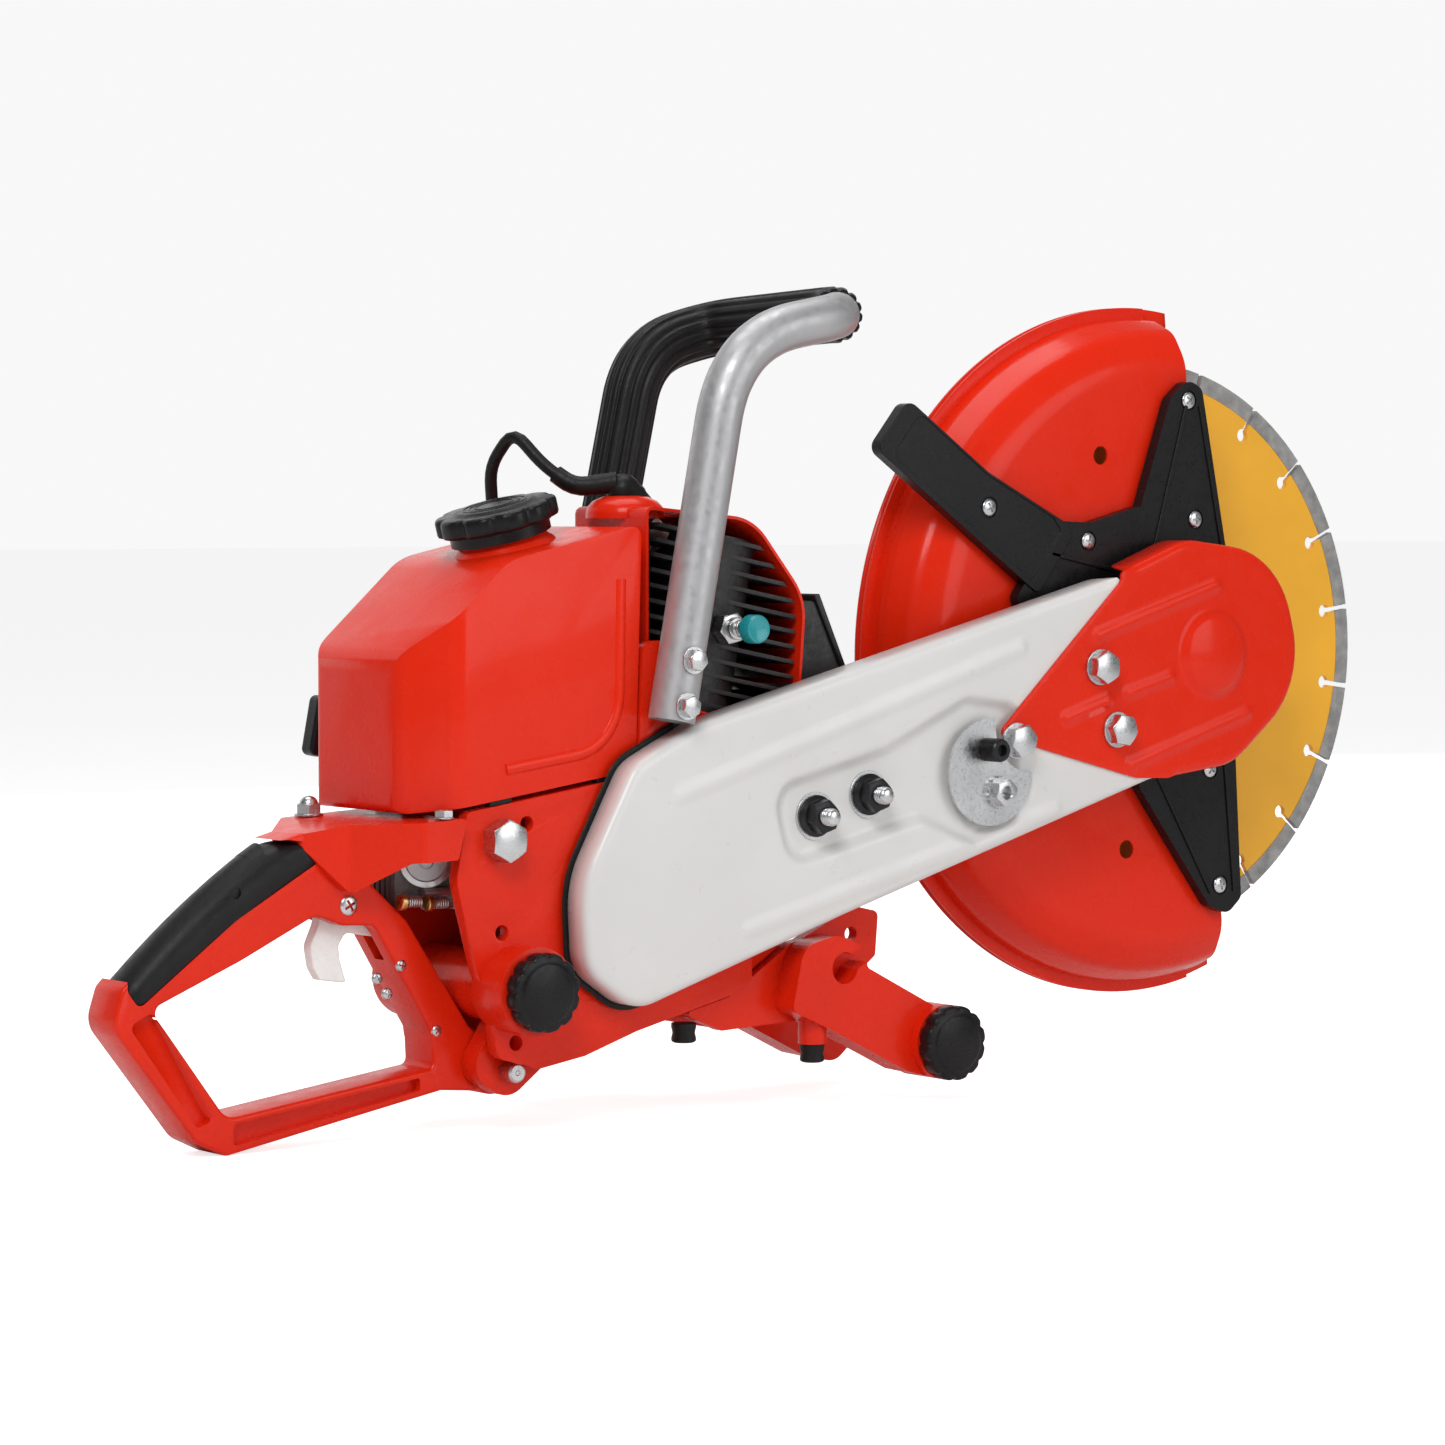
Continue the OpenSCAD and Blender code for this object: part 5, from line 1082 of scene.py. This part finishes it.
def starter_parts():
    tilt = math.radians(11)
    z = 34.2

    def place(p):
        a, b = p[:, 0], p[:, 1] + z
        x = CRANK[0] + a * math.cos(tilt) + b * math.sin(tilt)
        return np.column_stack([x, 92 + p[:, 2], CRANK[1] - a * math.sin(tilt) + b * math.cos(tilt)])

    grip = [(-175, -17, 4), (-164, -17, 3), (-160, 0, 8), (-164, 17, 3), (-175, 17, 4)]
    piece("starter_handle", turned_over(prism(rounded(grip, 8), -6, 6)).placed(place), "starter_pull",
          BLACK_PLASTIC, replaces=("starter_grip",), bevel=2.4, bevel_steps=5)
    line = np.column_stack([np.linspace(-164, -4, 60), np.zeros(60), np.zeros(60)])
    plait = [1.0 + 0.05 * math.sin(1.9 * k) for k in range(60)]
    rope = swept(line, round_section(1.9, 14), scale=plait)
    piece("starter_rope", rope.placed(place), "starter_pull", RUBBER)


def loop_outline(first, second, steps=60):
    """Closed line round two circles (x, z, radius)."""
    (x1, z1, r1), (x2, z2, r2) = first, second
    span = math.hypot(x2 - x1, z2 - z1)
    heading = math.atan2(z2 - z1, x2 - x1)
    half = math.acos((r1 - r2) / span)
    out = []
    for t in np.linspace(heading + half, heading + 2 * math.pi - half, steps):
        out.append((x1 + r1 * math.cos(t), z1 + r1 * math.sin(t)))
    for t in np.linspace(heading - half, heading + half, steps):
        out.append((x2 + r2 * math.cos(t), z2 + r2 * math.sin(t)))
    return out


def drive_belt():
    inner, outer = 0.15, 4.5
    section = [(outer, 48), (outer, 58)]
    for k in range(5):
        h = 58 - 2 * k
        section += [(inner, h), (inner + 1.4, h - 1.0)]
    section.append((inner, 48))
    rows = []
    for d, h in section:
        outline = loop_outline((0, ARBOR_Z, 42 + d), (*CRANK, 38 + d))
        rows += [(a, b, h) for a, b in outline]
    count = len(rows) // len(section)
    loop = Shape(rows, grid_faces(len(section), count, True, True))
    piece("ribbed_belt", loop.placed(facing_right(0, 0)), "machine", RUBBER,
          replaces=("drive_belt",), sharp=35)


# ------------------------------------------------------------------ rubber

def case_top(x):
    return 176.3 + 0.148 * (x + 516.5)


def rubber_parts():
    buffers = []
    for x, y, z, height in ((-366, -36, 42.4, 11.0), (-286, -49, 27.0, 10.5)):
        profile = [(0, 0), (5.6, 0), (6.9, 0.9), (7, 2.4), (6.3, height / 2), (7, height - 2.2), (7, height), (0, height)]
        buffers.append(lathe(profile, 36).placed(lambda p, o=(x, y, z): p + o))
    bush = [(5.6, -13.9), (8.4, -13.9), (8.95, -13.2), (8.95, 13.2), (8.4, 13.9), (5.6, 13.9)]
    buffers.append(lathe(bush, 40, True).placed(facing_right(*PIVOT_PIN)))
    for x in (-500, -430):
        for h in (44.5, -38.5):
            corners = [(x, case_top(x) + 0.1), (x + 14, case_top(x + 14) + 0.1),
                       (x + 14, case_top(x + 14) + 2.9), (x, case_top(x) + 2.9)]
            buffers.append(prism(corners, h - 6, h).placed(facing_right(0, 0)))
    piece("rubber_buffers", joined(buffers), "machine", RUBBER, replaces=("rubber_mounts",),
          bevel=0.5, bevel_steps=2)
    lip = rounded(GUARD_OUTLINE, 10)
    line = [(a, b, 48.6) for a, b in lip if a < -345]
    section = [(0.85 * a, 2.3 * b) for a, b in round_section(1.0, 16)]
    strip = swept(even(offset_line(line, 0.95), 3.0), section, side=(0, 0, 1))
    section_strip = strip.placed(on_arm())
    piece("guard_rubber_lip", section_strip, "machine", RUBBER, replaces=("belt_guard_seal",))


def offset_line(line, distance):
    """Line of (a, b, h) moved sideways in its plane."""
    points = np.array(line, float)
    step = np.gradient(points[:, :2], axis=0)
    step /= np.linalg.norm(step, axis=1)[:, None]
    side = np.column_stack([-step[:, 1], step[:, 0], np.zeros(len(step))])
    return points - side * distance


# ------------------------------------------------------------------ build

belt_guard()
end_cover()
arm_fasteners()
tensioner_plate()
blade_guard()
guard_bracket()
screws("guard_screw_heads", [(x, ARBOR_Z + z) for x, z in GUARD_SCREWS], "guard", 5.0, 35.7, 38.0,
       replaces=("guard_screws",))
fuel_tank()
tank_cap()
plug_lead()
shroud()
decompression()
front_handle()
star_caps()
rear_loop()
rear_grip()
trigger()
handle_fasteners()
carburettor_details()
starter_parts()
drive_belt()
rubber_parts()
dress_cad({
    "crankcase": 0.8, "cutting_arm": 1.0, "muffler": 1.5,
    "muffler_shield": 0.6, "starter_housing": 1.2, "carburettor": 0.8, "air_filter": 1.0,
    "engine_cylinder": 0.3, "throttle_lever": 0.4,
})


# ------------------------------------------------------------------ studio

def area_light(name, position, size, power, target=(-0.05, 0.0, 0.22)):
    data = bpy.data.lights.new(name, "AREA")
    data.shape = "RECTANGLE"
    data.size, data.size_y = size
    data.energy = power
    light = bpy.data.objects.new(name, data)
    bpy.context.scene.collection.objects.link(light)
    light.location = position
    light.rotation_euler = (Vector(target) - Vector(position)).to_track_quat("-Z", "Y").to_euler()
    light.visible_camera = False


def add_camera_level(tree, others, seen, strength):
    """Drives strength: the value seen for camera rays, and others for all the light that bounces."""
    path = tree.nodes.new("ShaderNodeLightPath")
    level = tree.nodes.new("ShaderNodeMapRange")
    level.inputs["To Min"].default_value = others
    level.inputs["To Max"].default_value = seen
    tree.links.new(path.outputs["Is Camera Ray"], level.inputs["Value"])
    tree.links.new(level.outputs["Result"], strength)


def studio():
    bpy.ops.mesh.primitive_plane_add(size=60, location=(0, 0, 0))
    floor = bpy.context.object
    floor.name = "floor"
    white = material("floor_white", (0.92, 0.92, 0.92), 0.7, mottle=0.004, mottle_size=2.0)
    floor.data.materials.append(white)
    shader = white.node_tree.nodes["Principled BSDF"]
    shader.inputs["Emission Color"].default_value = (1.0, 1.0, 1.0, 1.0)
    add_camera_level(white.node_tree, 0.0, 0.72, shader.inputs["Emission Strength"])
    world = bpy.data.worlds.new("studio")
    bpy.context.scene.world = world
    world.use_nodes = True
    background = world.node_tree.nodes["Background"]
    background.inputs["Color"].default_value = (1.0, 1.0, 1.0, 1.0)
    add_camera_level(world.node_tree, 0.20, 0.94, background.inputs["Strength"])
    area_light("key", (-1.5, -1.5, 1.9), (1.1, 1.1), 34)
    area_light("fill", (0.9, -2.2, 0.9), (1.6, 1.4), 15)
    area_light("top", (0.0, 0.3, 2.2), (1.6, 1.2), 18)
    area_light("backdrop", (0.3, 2.5, 1.0), (5.0, 2.4), 30)
    bpy.context.scene.view_settings.view_transform = "Standard"


def camera():
    data = bpy.data.cameras.new("photo")
    data.lens = 114.6
    data.sensor_width = 36.0
    eye = bpy.data.objects.new("photo", data)
    bpy.context.scene.collection.objects.link(eye)
    eye.location = (-1.5872, -2.1039, 0.3398)
    eye.rotation_euler = Vector((0.594, 0.803, -0.047)).to_track_quat("-Z", "Y").to_euler()
    bpy.context.scene.camera = eye


studio()
camera()
